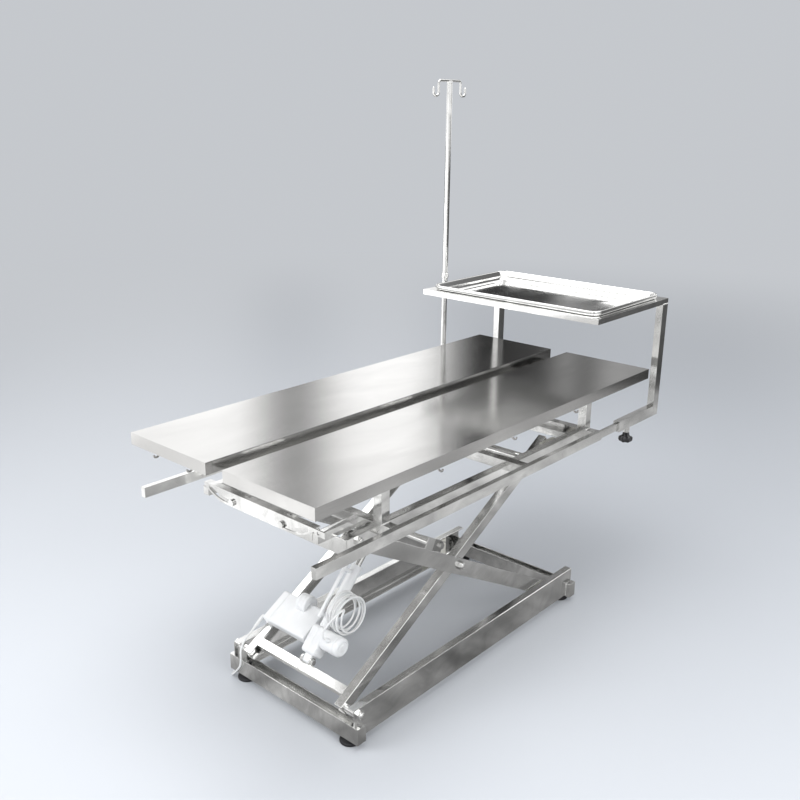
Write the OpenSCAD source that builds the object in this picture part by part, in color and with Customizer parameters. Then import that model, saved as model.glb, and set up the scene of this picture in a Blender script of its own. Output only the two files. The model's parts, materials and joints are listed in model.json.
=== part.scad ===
// Veterinary dissection table: a V-tilting steel top on an electric scissor lift.
// Millimetres, floor at z = 0. +X is the tray end, +Y the side with the drip stand.
// The modules measure x from the middle of the tabletop, and at_origin() puts
// the middle of the whole outline at the origin. "Left" is +Y, "right" is -Y.

/* [Tabletop] */
// Length of the tabletop
table_l = 1300; // [1260:10:1340]
// Width over both panels
table_w = 600; // [590:2:620]
// Gap between the two panels, over the drain trough
table_gap = 56; // [52:1:64]
// Height of a panel's folded skirt
panel_t = 28; // [24:1:34]
// Thickness of the panel and tray sheet
sheet_t = 2; // [1.5:0.5:2.5]
// Width of the return flange under a panel's skirt
lip_w = 20; // [16:1:24]
// Width of the box ribs under a panel
rib_w = 40; // [30:2:50]
// Wire radius of the tie-down hooks
hook_wire_r = 2.5; // [2:0.1:3]
// Bend radius of the tie-down hooks
hook_bend_r = 6; // [5:0.5:7]

// Distance between neighbouring hooks along a side
hook_pitch = 275; // [250:5:290]

/* [Panel hinges and struts] */
// Radius of the hinge knuckles
knuckle_r = 5; // [4.5:0.1:5.5]
// Radius of the hinge pins
hinge_pin_r = 2.5; // [2:0.1:3]
// Length of one hinge
hinge_l = 120; // [100:5:140]
// Distance between the middles of neighbouring hinges
hinge_pitch = 450; // [420:5:480]
// Height of a strut's lower pin above its crosspiece
strut_foot_z = 20; // [18:1:24]
// Distance of a strut's lower pin from the middle
strut_foot_y = 70; // [66:1:80]
// Distance of a strut's upper pin from the middle
strut_top_y = 215; // [208:1:222]
// Radius of a strut's cylinder
strut_r = 9; // [8:0.5:10]
// Radius of a strut's rod
strut_rod_r = 3.5; // [3:0.1:4]
// Length of a strut's cylinder
strut_body_l = 88; // [84:1:92]

/* [Upper frame] */
// Size of the square crosspieces
cross_w = 25; // [22:1:28]
// Thickness of the long rails
rail_w = 14; // [12:0.5:16]
// Distance from the tabletop's edge in to the rails
rail_inset = 10; // [8:1:14]
// Wall of the rails and crosspieces
tube_wall = 1.5; // [1.2:0.1:2]
// Place of the middle crosspiece
mid_cross_x = 75; // [55:5:95]
// Height of the posts that the panels rest on
post_h = 100; // [90:1:110]
// Thickness of the rubber rest pads
pad_t = 2.8; // [2:0.1:4]
// Distance of the rest posts from the middle
post_y = 240; // [232:1:248]
// Height of the upper side channels
upper_ch_h = 40; // [38:1:44]
// Width of the extension bars
bar_w = 10; // [9:0.1:10.5]
// Height of the extension bars
bar_h = 20; // [18:0.5:21]

/* [Drain] */
// Depth of the drain trough
trough_h = 29; // [24:1:34]
// Length of the drain trough
trough_l = 1240; // [1180:10:1260]
// Width of the stands under the trough
stand_w = 40; // [36:1:44]
// Outer radius of the drain spigot
spigot_r = 15; // [13:0.5:17]
// Length of the drain spigot
spigot_l = 25; // [20:1:30]

/* [Near end saddle] */
// Half width of the saddle plate
saddle_half = 182; // [176:1:190]
// Distance of the saddle plate from the near crosspiece
saddle_reach = 136; // [126:1:146]
// Height of the saddle plate
saddle_h = 34; // [32:1:38]
// Distance of the saddle's lobes from the middle
lobe_y = 100; // [94:1:106]
// Radius of the saddle's lobes
lobe_r = 137; // [134:1:142]
// Width of the curved slots
slot_w = 10; // [8:0.5:11]

/* [Scissor lift] */
// Distance between the pivots at an arm's ends
arm_l = 886; // [870:2:900]
// Height of the upper pivots above the lower ones, at rest
lift_h = 432; // [410:2:450]
// Radius of the pivot bolts
bolt_r = 6; // [5:0.1:6.5]
// Outer radius of the pivot bushes
bush_r = 10; // [9:0.5:11]
// Height of the inner arms
arm_a_h = 30; // [28:1:32]
// Width of the inner arms' flanges
arm_a_w = 23; // [20:1:25]
// Height of the outer arms
arm_b_h = 40; // [36:1:42]
// Width of the outer arms' flanges
arm_b_w = 12; // [11:0.5:13]
// Wall of the arms and channels
wall = 3; // [2.5:0.1:3.5]
// Sideways gap between the inner and the outer arms
arm_gap = 4; // [3:0.5:5]
// Length of the slider blocks
block_l = 66; // [56:1:70]
// Radius of the upper cross tube of the inner arms
high_tube_r = 12.5; // [11:0.5:14]
// Radius of the cross tube of the outer arms
lug_tube_r = 9; // [8:0.5:10]

/* [Base] */
// How much longer the base is than the distance between an arm's pivots
base_over = 35; // [25:1:55]
// Width of the cross channels
base_w = 452; // [448:2:470]
// Distance from the middle of the top to the near end of the base
base_near = 465; // [460:1:470]
// Height of the cross channels
base_cross_h = 43; // [38:1:46]
// Width of the cross channels' section
base_cross_w = 28; // [26:1:32]
// Height of the side channels
side_h = 80; // [76:1:86]
// Depth of the side channels' section
side_d = 22; // [20:1:24]
// Height of the base above the floor
foot_h = 17; // [15:1:22]
// Radius of the foot pads
foot_r = 25; // [20:1:27]

/* [Actuator] */
// Sideways place of the actuator
act_y = -13; // [-17:1:-9]
// Distance of the rear pivot along the inner arms
act_rear_s = 44; // [42:1:46]
// Height of the rear pivot above the inner arms' line
act_rear_off = 20; // [18:1:22]
// Distance of the front pivot along the outer arms
act_front_s = 292; // [288:1:296]
// Radius of the outer tube
act_tube_r = 14; // [12.5:0.5:14]
// Length of the housing
act_case_l = 70; // [66:1:74]
// Width of the housing
act_case_w = 44; // [42:1:46]
// Radius of the motor
motor_r = 24.5; // [22:0.5:26]
// Length of the motor
motor_l = 50; // [44:1:56]
// Radius of the rod
act_rod_r = 8; // [7:0.5:9]
// Outer end of the tube, from the rear pivot
act_tube_end = 252; // [246:1:254]
// Play of the rod's pin in its lugs
lug_play = 10.5; // [10:0.5:11]

/* [Control box and cables] */
// Length of the control box along the arm
box_l = 90; // [80:1:94]
// Gap between the control box and the actuator
box_gap = 11; // [9:1:20]
// Height of the control box
box_h = 30; // [26:1:36]
// Diameter of the cables
cable_d = 5; // [4.4:0.1:5]
// Loops in the hank beside the actuator
hank_loops = 6; // [4:1:7]
// Turns in each layer of the stored mains lead
coil_turns = 3; // [2:1:3]

/* [Tray] */
// How far the tray frame stands out past the tabletop
tray_reach = 95; // [75:5:115]
// Length of the tray frame
tray_l = 392; // [380:2:400]
// Height of the tray frame's top above the tabletop
tray_rise = 190; // [170:5:220]
// Height of the tray frame's top members
tray_bar_h = 15; // [13:0.5:17]
// Height of the tray frame's tubes
tray_tube_h = 30; // [29:0.5:32]
// Width of the tray frame's tubes
tray_tube_w = 20; // [19:0.5:22]
// Depth of the tray's cup below the frame's top
tray_depth = 14; // [10:1:15]
// Width of the flat frame that the tray rests on
tray_ledge = 32; // [28:1:36]
// Distance of the tray's rim from the frame's outer edge
rim_inset = 16; // [12:1:20]
// Outer corner radius of the tray's rim
rim_corner_r = 32; // [24:1:40]
// Corner radius of the tray's cup
tray_corner_r = 30; // [20:1:40]
// Radius of the star knobs
star_r = 20; // [18:0.5:22]

/* [Drip stand] */
// Radius of the drip pole
pole_r = 8; // [7:0.5:8.5]
// Length of the drip pole
pole_l = 1073; // [1003:10:1143]
// Length of the pole below the middle of the rail
pole_below = 162; // [140:2:180]
// Distance of the drip pole from the far crosspiece
pole_ahead = 63; // [60:1:68]
// Distance of the drip pole from the rail's outer face
pole_out = 21; // [20:1:24]
// Half width of the bottle hook between its drops
hanger_half = 50; // [44:1:56]
// Wire radius of the bottle hook
hanger_r = 3.5; // [3:0.1:4]
// Drop of the bottle hook
hanger_drop = 31; // [26:1:38]

/* [Hidden] */
$fn = 48;
fit = 0.05;      // radial clearance of a bolt or shaft in its hole
seat = 0.3;      // gap between pieces that move on each other
stub = 1;        // how far a cutter runs past a face

// Heights
cross_floor_z = foot_h + wall;
side_top_z = cross_floor_z + side_h;
pivot_drop = 16;
pivot_z = side_top_z - pivot_drop;
upper_pivot_z = pivot_z + lift_h;
upper_pivot_drop = 14;
frame_z = upper_pivot_z + upper_pivot_drop;
upper_ch_z = frame_z - upper_ch_h;
cross_top_z = frame_z + cross_w;
rail_mid_z = frame_z + cross_w / 2;
post_top_z = cross_top_z + post_h;
panel_z = post_top_z + 3;
top_z = panel_z + panel_t;
hinge_z = panel_z - knuckle_r - 1;
hinge_y = table_gap / 2 + 1;
trough_top_z = hinge_z + 2;
trough_z = trough_top_z - trough_h;

// Places along the table
base_l = arm_l + base_over;
near_x = -base_near;
far_x = near_x + base_l;
pivot_in = 20;
pivot_x = near_x + pivot_in;
near_cross_x = pivot_x + 40;
far_end_x = far_x - 1;
far_cross_x = far_end_x - 43;
upper_near_x = pivot_x - 38;
rail_near_x = -table_l / 2 + 9;
rail_far_x = far_cross_x + cross_w / 2;
bar_end_x = table_l / 2 - 6;
bar_root_l = 60;
root_pad_in = 10;
trough_mid_x = 20;
saddle_x = near_cross_x - saddle_reach;
lift_angle = asin(lift_h / arm_l);
slide_x = pivot_x + arm_l * cos(lift_angle);

// Places across the table
rail_y = table_w / 2 - rail_inset;
rail_in_y = rail_y - rail_w;
bar_y = rail_y - rail_w / 2;
channel_y = base_w / 2 - 14;
flange_y = channel_y - side_d;
arm_b_y = flange_y - 2;
arm_b_t = 4;
arm_a_y = arm_b_y - arm_b_w - arm_gap;
arm_a_in_y = arm_a_y - arm_a_w;
frame_y = rail_y + 3;

// Fasteners
nut_af = 19;
nut_h = 8;
hex_turn = 30;

// Inner arms
arm_end = 12;
low_tube = 22;
low_tube_s = 16;
high_tube_s = arm_l - 70;
ear_t = 4;
ear_r = 11;
act_eye_half = 11.7;
ear_y = act_eye_half + seat;
act_pin_r = bolt_r - 1;
act_nut_af = 13;
act_nut_h = 5;
act_pin_half = ear_y + ear_t + act_nut_h - 1.3;
act_eye_r = norm([act_rear_s - low_tube_s - low_tube, act_rear_off - arm_a_h / 2]) - seat;
high_plug_r = arm_a_h / 2 - wall - seat;
high_bore_r = high_plug_r - 1.5;

// Outer arms: the pivots sit nearer to the top edge, and the ends are rounded
arm_b_above = 16;
arm_b_below = arm_b_h - arm_b_above;
lug_tube_off = 34;
lug_r = bolt_r + lug_play + 8.5;
lug_t = 5;
lug_in = act_tube_r + 0.5;
lug_hole_r = bolt_r + lug_play;

// Actuator: the angle and length at rest are set a touch off the lug's middle,
// so that the rod's pin stays inside the lug's hole over the whole lift
act_turn = 0.62;
act_stretch = 0.75;
rear_x = pivot_x + act_rear_s * cos(lift_angle) - act_rear_off * sin(lift_angle);
rear_z = pivot_z + act_rear_s * sin(lift_angle) + act_rear_off * cos(lift_angle);
front_x = pivot_x + act_front_s * cos(lift_angle);
front_z = upper_pivot_z - act_front_s * sin(lift_angle);
act_angle = atan2(front_z - rear_z, front_x - rear_x) - act_turn;
act_l = norm([front_x - rear_x, front_z - rear_z]) + act_stretch;
case_t0 = 14;
case_t1 = case_t0 + act_case_l;
case_h = 40;
motor_t = 61;
rod_back_t = 165;
rod_eye_r = 11;
rod_eye_half = 10;
side_tube_n = 40;
side_tube_r = 5;

// Control box
box_s = 75;
box_off = arm_a_h / 2;
box_y1 = arm_a_y - 2;
box_y0 = act_y + act_case_w / 2 + box_gap;
disc_r = 24;
disc_w = 34;
disc_in = 7;
disc_sunk = 3;
disc_mid_y = (box_y0 + box_y1) / 2 - 9;
gland_r = 6;
gland_l = 6;
lead_gland_s = 82;
lead_gland_off = 31;
motor_gland_l = 10;

// Struts
strut_angle = atan2(hinge_z - 2 - cross_top_z - strut_foot_z, strut_top_y - strut_foot_y) + 0.55;
strut_l = norm([hinge_z - 2 - cross_top_z - strut_foot_z, strut_top_y - strut_foot_y]) + 0.3;
strut_pin_r = 3.5;
strut_play = 2.2;
strut_eye_half = 5;
strut_eye_r = 8;
strut_ear_t = 3.7;

// Tray
tray_x1 = table_l / 2 + tray_reach;
tray_x0 = tray_x1 - tray_l;
tray_top_z = top_z + tray_rise;
post_l = 30;
mouth_gap = 92.5;
arm_mouth_x = rail_far_x + mouth_gap;
guide_l = 40;
knob_x = arm_mouth_x + 61;
boss_h = 16;
tray_rim_h = 8;

// Drip stand
pole_x = far_cross_x + pole_ahead;
pole_y = rail_y + pole_out;
pole_z = rail_mid_z - pole_below;
clamp_x = far_cross_x - 28;
clamp_half_h = 17.5;
clamp_out_y = pole_y + 14;
knob_l = 27;

// Cable routes. Points by hand, in millimetres from the middle of the top.
cable_r = cable_d / 2;
ring_step = 12;

// Middle of the outline, without the cables
mid_x = (tray_x1 - table_l / 2) / 2;
mid_y = (clamp_out_y + knob_l - max(table_w / 2, bar_y + star_r)) / 2;

// Moves everything so that the middle of the outline is at the origin
module at_origin() {
    translate([-mid_x, -mid_y, 0]) children();
}

// Draws a piece of the left side, or its mirror image on the right
module on_side(side) {
    if (side > 0) children();
    else mirror([0, 1, 0]) children();
}

// Frames of the moving groups: local x runs along the piece, local z away from it
module on_arm_a() {
    translate([pivot_x, 0, pivot_z]) rotate([0, -lift_angle, 0]) children();
}

module on_arm_b() {
    translate([pivot_x, 0, upper_pivot_z]) rotate([0, lift_angle, 0]) children();
}

module on_actuator() {
    translate([rear_x, act_y, rear_z]) rotate([0, -act_angle, 0]) children();
}

// A strut's own frame: local x runs from its foot towards its top
module on_strut(side) {
    on_side(side) translate([mid_cross_x, strut_foot_y, cross_top_z + strut_foot_z])
        rotate([strut_angle, 0, 0]) rotate([0, 0, 90]) children();
}

// A box between two corners
module block(low, high) {
    translate(low) cube(high - low);
}

// A cylinder along Y between two values of y
module rod_y(r, y0, y1) {
    translate([0, y1, 0]) rotate([90, 0, 0]) cylinder(r = r, h = y1 - y0);
}

// A hexagon nut or head along Y, measured across its flats
module hex_y(af, y0, y1) {
    translate([0, y1, 0]) rotate([90, hex_turn, 0]) cylinder(r = af / 2 / cos(30), h = y1 - y0, $fn = 6);
}

// A cylinder along X between two values of x
module rod_x(r, x0, x1) {
    translate([x0, 0, 0]) rotate([0, 90, 0]) cylinder(r = r, h = x1 - x0);
}

// A channel along X whose web faces +Y and whose open side faces the middle
module channel(x0, x1, z0, z1, y1, depth, web, flange) {
    difference() {
        block([x0, y1 - depth, z0], [x1, y1, z1]);
        block([x0 - stub, y1 - depth - stub, z0 + flange], [x1 + stub, y1 - web, z1 - flange]);
    }
}

// A rectangular tube along X
module tube_x(x0, x1, y0, y1, z0, z1, t) {
    difference() {
        block([x0, y0, z0], [x1, y1, z1]);
        block([x0 - stub, y0 + t, z0 + t], [x1 + stub, y1 - t, z1 - t]);
    }
}

// A flat link between two round ends, drawn from the first end along +Z
module link_2d(r0, r1, d) {
    lean = asin((r0 - r1) / d);
    circle(r = r0);
    translate([0, d]) circle(r = r1);
    polygon([
        [-r0 * cos(lean), r0 * sin(lean)], [r0 * cos(lean), r0 * sin(lean)],
        [r1 * cos(lean), d + r1 * sin(lean)], [-r1 * cos(lean), d + r1 * sin(lean)]
    ]);
}

// A rectangle with round corners, between two corners
module rounded_2d(low, high, r) {
    translate([low[0] + r, low[1]]) square([high[0] - low[0] - 2 * r, high[1] - low[1]]);
    translate([low[0], low[1] + r]) square([high[0] - low[0], high[1] - low[1] - 2 * r]);
    for (x = [low[0] + r, high[0] - r], y = [low[1] + r, high[1] - r])
        translate([x, y]) circle(r = r);
}

// Cable geometry.
// A smooth curve through hand-set points, by the Catmull-Rom formula
function spline_point(p0, p1, p2, p3, t) =
    0.5 * (2 * p1 + (p2 - p0) * t + (2 * p0 - 5 * p1 + 4 * p2 - p3) * t * t
    + (3 * p1 - p0 - 3 * p2 + p3) * t * t * t);

function spline(p) = [
    for (i = [0 : len(p) - 2])
        let (a = i == 0 ? 2 * p[0] - p[1] : p[i - 1],
             d = i == len(p) - 2 ? 2 * p[i + 1] - p[i] : p[i + 2],
             n = max(1, round(norm(p[i + 1] - p[i]) / ring_step)))
        for (k = [0 : n - 1]) spline_point(a, p[i], p[i + 1], d, k / n),
    p[len(p) - 1]
];

function unit(v) = v / norm(v);

function tangent(p, i) =
    unit(i == 0 ? p[1] - p[0]
        : i == len(p) - 1 ? p[i] - p[i - 1]
        : unit(p[i + 1] - p[i]) + unit(p[i] - p[i - 1]));

// Turns the last ring's sideways direction square to the next stretch of the path
function carried(side, t) = unit(side - (side * t) * t);

function first_side(t) = unit(cross(t, abs(t[2]) < 0.9 ? [0, 0, 1] : [1, 0, 0]));

// One sideways direction for each point of the path, with no twist between them
function sides_of(p) = [
    for (i = 0, s = first_side(tangent(p, 0)); i < len(p);
         i = i + 1, s = i < len(p) ? carried(s, tangent(p, i)) : s) s
];

// A closed tube along a path
module tube_along(p, r, n) {
    s = sides_of(p);
    rings = [
        for (i = [0 : len(p) - 1])
            let (t = tangent(p, i), u = s[i], v = cross(t, u))
            for (k = [0 : n - 1]) p[i] + r * (cos(360 * k / n) * u + sin(360 * k / n) * v)
    ];
    last = (len(p) - 1) * n;
    sides = [
        for (i = [0 : len(p) - 2], k = [0 : n - 1])
            let (a = i * n + k, b = i * n + (k + 1) % n)
            each [[a, a + n, b], [b, a + n, b + n]]
    ];
    caps = [for (k = [1 : n - 2]) each [[0, k, k + 1], [last, last + k + 1, last + k]]];
    polyhedron(points = rings, faces = concat(sides, caps), convexity = 10);
}

// A path that leaves a point straight, follows a smooth curve and ends straight, so that
// both its ends are square to what they meet
function lead_path(start, start_dir, p, end_dir, end) = concat(
    [start],
    spline(concat([start + cable_d * start_dir], p, [end - cable_d * end_dir])),
    [end]
);

function smooth(t) = t < 0 ? 0 : t > 1 ? 1 : t * t * (3 - 2 * t);

// The stored mains lead: layers of turns that spiral in and out again, 12 turns in all
coil_layers = 4;
coil_x = -330;
coil_y = 264;
coil_pitch = cable_d + 0.6;
coil_out_r = 36;
coil_all = coil_layers * coil_turns;
coil_start = -90;

function coil_radius(u) =
    let (k = floor(u / coil_turns), f = u - k * coil_turns)
    coil_out_r - coil_pitch * (k % 2 == 0 ? f : coil_turns - f);

function coil_height(u) =
    cable_r + coil_pitch * sum_of([for (k = [1 : coil_layers - 1]) smooth((u - k * coil_turns) / 0.5 + 0.5)]);

function sum_of(v, i = 0) = i < len(v) ? v[i] + sum_of(v, i + 1) : 0;

function coil_point(u) =
    let (a = coil_start + 360 * u)
    [coil_x + coil_radius(u) * cos(a), coil_y + coil_radius(u) * sin(a), coil_height(u)];

loop_rings = 24;
first_dir = unit(coil_point(1 / loop_rings) - coil_point(0));
last_dir = unit(coil_point(coil_all) - coil_point(coil_all - 1 / loop_rings));
coil_in = coil_point(0) - cable_d * first_dir;
coil_out = coil_point(coil_all) + cable_d * last_dir;
coil_path = concat(
    [coil_in],
    [for (i = [0 : coil_all * loop_rings]) coil_point(i / loop_rings)],
    [coil_out]
);

// The hank beside the actuator: loops about an axis along Y, in the actuator's frame
hank_t = 138;
hank_r = 44;
hank_wander = 5;
hank_beat = 155;
hank_pitch = cable_d + 2;
hank_y0 = -act_tube_r - cable_r - seat;
hank_a0 = 210;

function hank_point(u) =
    let (a = hank_a0 - 360 * u, r = hank_r + hank_wander * sin(hank_beat * u))
    [hank_t + r * cos(a), hank_y0 - hank_pitch * u, r * sin(a)];

hank_turns = hank_loops + 0.25;
hank_first_dir = unit(hank_point(1 / loop_rings) - hank_point(0));
hank_last_dir = unit(hank_point(hank_turns) - hank_point(hank_turns - 1 / loop_rings));
hank_in = hank_point(0) - cable_d * hank_first_dir;
hank_out = hank_point(hank_turns) + cable_d * hank_last_dir;
hank_path = concat(
    [hank_in],
    [for (i = [0 : hank_turns * loop_rings]) hank_point(i / loop_rings)],
    [hank_out]
);

// Least gap between stretches of a looped tube that are a turn or so apart
function least_gap(p) =
    min([for (i = [0 : len(p) - 1], j = [i + loop_rings / 2 : len(p) - 1]) if (j < len(p)) norm(p[i] - p[j])])
    - cable_d;

echo(coil_gap = least_gap(coil_path), hank_gap = least_gap(hank_path));

// Base

module side_channel(side) {
    color("silver") at_origin() on_side(side)
        difference() {
            channel(near_x + wall, far_x - wall, cross_floor_z, side_top_z, channel_y, side_d, wall, wall);
            translate([pivot_x, 0, pivot_z]) rod_y(bolt_r + fit, channel_y - wall - stub, channel_y + stub);
        }
}

foot_y = flange_y - 7;
stud_r = 4;
foot_nut_af = 13;
foot_nut_h = 7;
foot_near_x = pivot_x;
foot_far_x = far_x - base_cross_w / 2 - 1;

// An open-topped channel across the base, notched for the side channels
module cross_channel(x0, foot_x, inner_wall_x) {
    color("silver") at_origin() {
        difference() {
            block([x0, -base_w / 2, foot_h], [x0 + base_cross_w, base_w / 2, foot_h + base_cross_h]);
            block([x0 + wall, -channel_y, cross_floor_z],
                  [x0 + base_cross_w - wall, channel_y, side_top_z]);
            for (side = [-1, 1]) on_side(side) {
                block([inner_wall_x - stub, flange_y, cross_floor_z],
                      [inner_wall_x + wall + stub, channel_y, side_top_z]);
                translate([foot_x, foot_y, foot_h - stub]) cylinder(r = stud_r + fit, h = wall + 2 * stub);
            }
        }
        for (side = [-1, 1]) on_side(side) translate([foot_x, foot_y, cross_floor_z])
            difference() {
                cylinder(r = foot_nut_af / 2 / cos(30), h = foot_nut_h, $fn = 6);
                translate([0, 0, -stub]) cylinder(r = stud_r + fit, h = foot_nut_h + 2 * stub);
            }
    }
}

module cross_channel_near() {
    cross_channel(near_x, foot_near_x, near_x + base_cross_w - wall);
}

module cross_channel_far() {
    cross_channel(far_x - base_cross_w, foot_far_x, far_x - base_cross_w);
}

// Pivot bolts of the inner arms, each with its bush, inner nut and outer cap nut
module lower_pivots() {
    cap_af = 22;
    cap_h = 7;
    color("gainsboro") at_origin() for (side = [-1, 1]) on_side(side) translate([pivot_x, 0, pivot_z]) {
        rod_y(bolt_r, arm_a_y - wall - seat - nut_h, channel_y + cap_h);
        hex_y(nut_af, arm_a_y - wall - seat - nut_h, arm_a_y - wall - seat);
        hex_y(cap_af, channel_y, channel_y + cap_h);
        translate([0, channel_y + cap_h, 0]) rotate([-90, 0, 0]) cylinder(r1 = 9, r2 = 6, h = 3);
        difference() {
            rod_y(bush_r, arm_a_y + seat, channel_y - wall);
            rod_y(bolt_r + fit, arm_a_y - stub, channel_y);
        }
    }
}

// A levelling foot: pad, cone, hexagon and threaded stud
module foot(x, side) {
    pad_h = 7;
    cone_h = 5;
    color("dimgray") at_origin() on_side(side) translate([x, foot_y, 0]) {
        cylinder(r = foot_r, h = pad_h);
        translate([0, 0, pad_h]) cylinder(r1 = foot_r - 3, r2 = 12, h = cone_h);
        cylinder(r = 9, h = foot_h - seat, $fn = 6);
        cylinder(r = stud_r, h = cross_floor_z + foot_nut_h + 12);
    }
}

// Scissor lift

// An inner arm: a channel that opens towards the middle
module arm_a(side) {
    color("silver") at_origin() on_side(side) on_arm_a() difference() {
        channel(-arm_end, arm_l + arm_end, -arm_a_h / 2, arm_a_h / 2, arm_a_y, arm_a_w, wall, wall);
        for (s = [0, arm_l / 2, arm_l])
            translate([s, 0, 0]) rod_y(bolt_r + fit, arm_a_y - wall - stub, arm_a_y + stub);
    }
}

// The low cross tube with the two ears that carry the actuator's rear pin
module arm_a_cross_low() {
    top = arm_a_h / 2;
    color("gainsboro") at_origin() on_arm_a() {
        block([low_tube_s, -arm_a_in_y, top - low_tube], [low_tube_s + low_tube, arm_a_in_y, top]);
        for (side = [-1, 1]) translate([0, act_y, 0]) on_side(side) {
            translate([0, ear_y + ear_t, 0]) rotate([90, 0, 0]) linear_extrude(ear_t) {
                translate([act_rear_s, act_rear_off]) circle(r = ear_r);
                polygon([
                    [low_tube_s + 1, top - 4], [low_tube_s + low_tube + 2, top - 4],
                    [act_rear_s, act_rear_off], [low_tube_s + 1, act_rear_off + 3]
                ]);
            }
            translate([act_rear_s, 0, act_rear_off])
                hex_y(act_nut_af, ear_y + ear_t, ear_y + ear_t + act_nut_h);
        }
        translate([act_rear_s, act_y, act_rear_off]) rod_y(act_pin_r, -act_pin_half, act_pin_half);
    }
}

module arm_a_cross_high() {
    color("silver") at_origin() on_arm_a() translate([high_tube_s, 0, 0]) difference() {
        rod_y(high_tube_r, -arm_a_in_y, arm_a_in_y);
        rod_y(high_bore_r, -arm_a_in_y - stub, arm_a_in_y + stub);
    }
    color("silver") at_origin() for (side = [-1, 1]) on_side(side) on_arm_a()
        translate([high_tube_s, 0, 0]) rod_y(high_plug_r, arm_a_in_y, arm_a_y - wall);
}

// Bolts held by the inner arms: the scissor's middle bolts and the stub bolts of the upper sliders
module arm_a_pins() {
    head_h = 7;
    color("gainsboro") at_origin() for (side = [-1, 1]) on_side(side) on_arm_a() {
        translate([arm_l / 2, 0, 0]) {
            rod_y(bolt_r, arm_a_y - wall - nut_h, arm_b_y + seat + head_h);
            hex_y(nut_af, arm_a_y - wall - nut_h, arm_a_y - wall);
            hex_y(nut_af, arm_b_y + seat, arm_b_y + seat + head_h);
            difference() {
                rod_y(bush_r, arm_a_y, arm_b_y - arm_b_t - seat);
                rod_y(bolt_r + fit, arm_a_y - stub, arm_b_y);
            }
        }
        translate([arm_l, 0, 0]) {
            rod_y(bolt_r, arm_a_y - wall - nut_h, channel_y - wall - 3);
            hex_y(nut_af, arm_a_y - wall - nut_h, arm_a_y - wall);
        }
    }
}

// An outer arm: a shallow channel with its upper end rounded off under the frame
module arm_b(side) {
    color("silver") at_origin() on_side(side) on_arm_b() difference() {
        channel(-arm_b_above, arm_l + arm_end, -arm_b_below, arm_b_above, arm_b_y, arm_b_w, arm_b_t, wall);
        translate([0, arm_b_y + stub, 0]) rotate([90, 0, 0]) linear_extrude(arm_b_w + 2 * stub)
            difference() {
                translate([-arm_b_above - stub, 0]) square([arm_b_above + stub, arm_b_above + stub]);
                circle(r = arm_b_above);
            }
        for (s = [0, arm_l / 2, arm_l])
            translate([s, 0, 0]) rod_y(bolt_r + fit, arm_b_y - arm_b_t - stub, arm_b_y + stub);
    }
}

// The cross tube of the outer arms, its end plates and the lugs that take the actuator's rod
module arm_b_cross() {
    plate_half = 14;
    web_y0 = arm_b_y - arm_b_t;
    color("gainsboro") at_origin() on_arm_b() translate([act_front_s, 0, 0]) {
        translate([0, 0, lug_tube_off]) rod_y(lug_tube_r, -web_y0, web_y0);
        for (side = [-1, 1]) on_side(side)
            block([-plate_half, web_y0, arm_b_above], [plate_half, arm_b_y, lug_tube_off + lug_tube_r + 3]);
        for (side = [-1, 1]) translate([0, act_y, 0]) on_side(side)
            translate([0, lug_in + lug_t, 0]) rotate([90, 0, 0]) linear_extrude(lug_t) difference() {
                link_2d(lug_r, lug_tube_r + 4, lug_tube_off);
                circle(r = lug_hole_r);
            }
    }
}

// Stub bolts of the lower sliders
module arm_b_pins() {
    color("gainsboro") at_origin() for (side = [-1, 1]) on_side(side) on_arm_b() translate([arm_l, 0, 0]) {
        rod_y(bolt_r, arm_b_y - arm_b_t - nut_h, channel_y - wall - 3);
        hex_y(nut_af, arm_b_y - arm_b_t - nut_h, arm_b_y - arm_b_t);
    }
}

// A nylon slider block, in its channel at the far end
module slider(side, z0, z1, pin_z, y0) {
    color("ivory") at_origin() on_side(side) difference() {
        block([slide_x - block_l / 2, y0, z0 + seat],
              [slide_x + block_l / 2, channel_y - wall - seat, z1 - seat]);
        translate([slide_x, 0, pin_z]) rod_y(bolt_r + fit, y0 - stub, channel_y);
    }
}

module slider_lower(side) {
    slider(side, cross_floor_z + wall, side_top_z - wall, pivot_z, arm_b_y + 1);
}

module slider_upper(side) {
    slider(side, upper_ch_z + wall, frame_z - wall, upper_pivot_z, arm_a_y + 2);
}

// Actuator

// The housing with its tail eye and the motor that stands out to the right
module actuator_case() {
    y0 = -act_case_w / 2;
    motor_bevel = 5;
    color("white") at_origin() on_actuator() {
        difference() {
            union() {
                rod_y(act_eye_r, -act_eye_half, act_eye_half);
                block([0, -act_eye_half, -act_eye_r], [case_t0 + stub, act_eye_half, act_eye_r]);
            }
            rod_y(act_pin_r + fit, -act_case_w, act_case_w);
        }
        translate([case_t0, -y0, 0]) rotate([90, 0, 0]) linear_extrude(act_case_w)
            rounded_2d([0, -case_h / 2], [act_case_l, case_h / 2], 8);
        translate([motor_t, 0, 0]) {
            rod_y(motor_r, y0 - motor_l, y0);
            translate([0, y0 - motor_l, 0]) rotate([90, 0, 0])
                cylinder(r1 = motor_r, r2 = motor_r - motor_bevel, h = motor_bevel);
        }
        translate([motor_t, motor_gland_y, motor_r - 2]) cylinder(r = gland_r, h = motor_gland_l + 2);
    }
}

motor_gland_y = -45;

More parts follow.
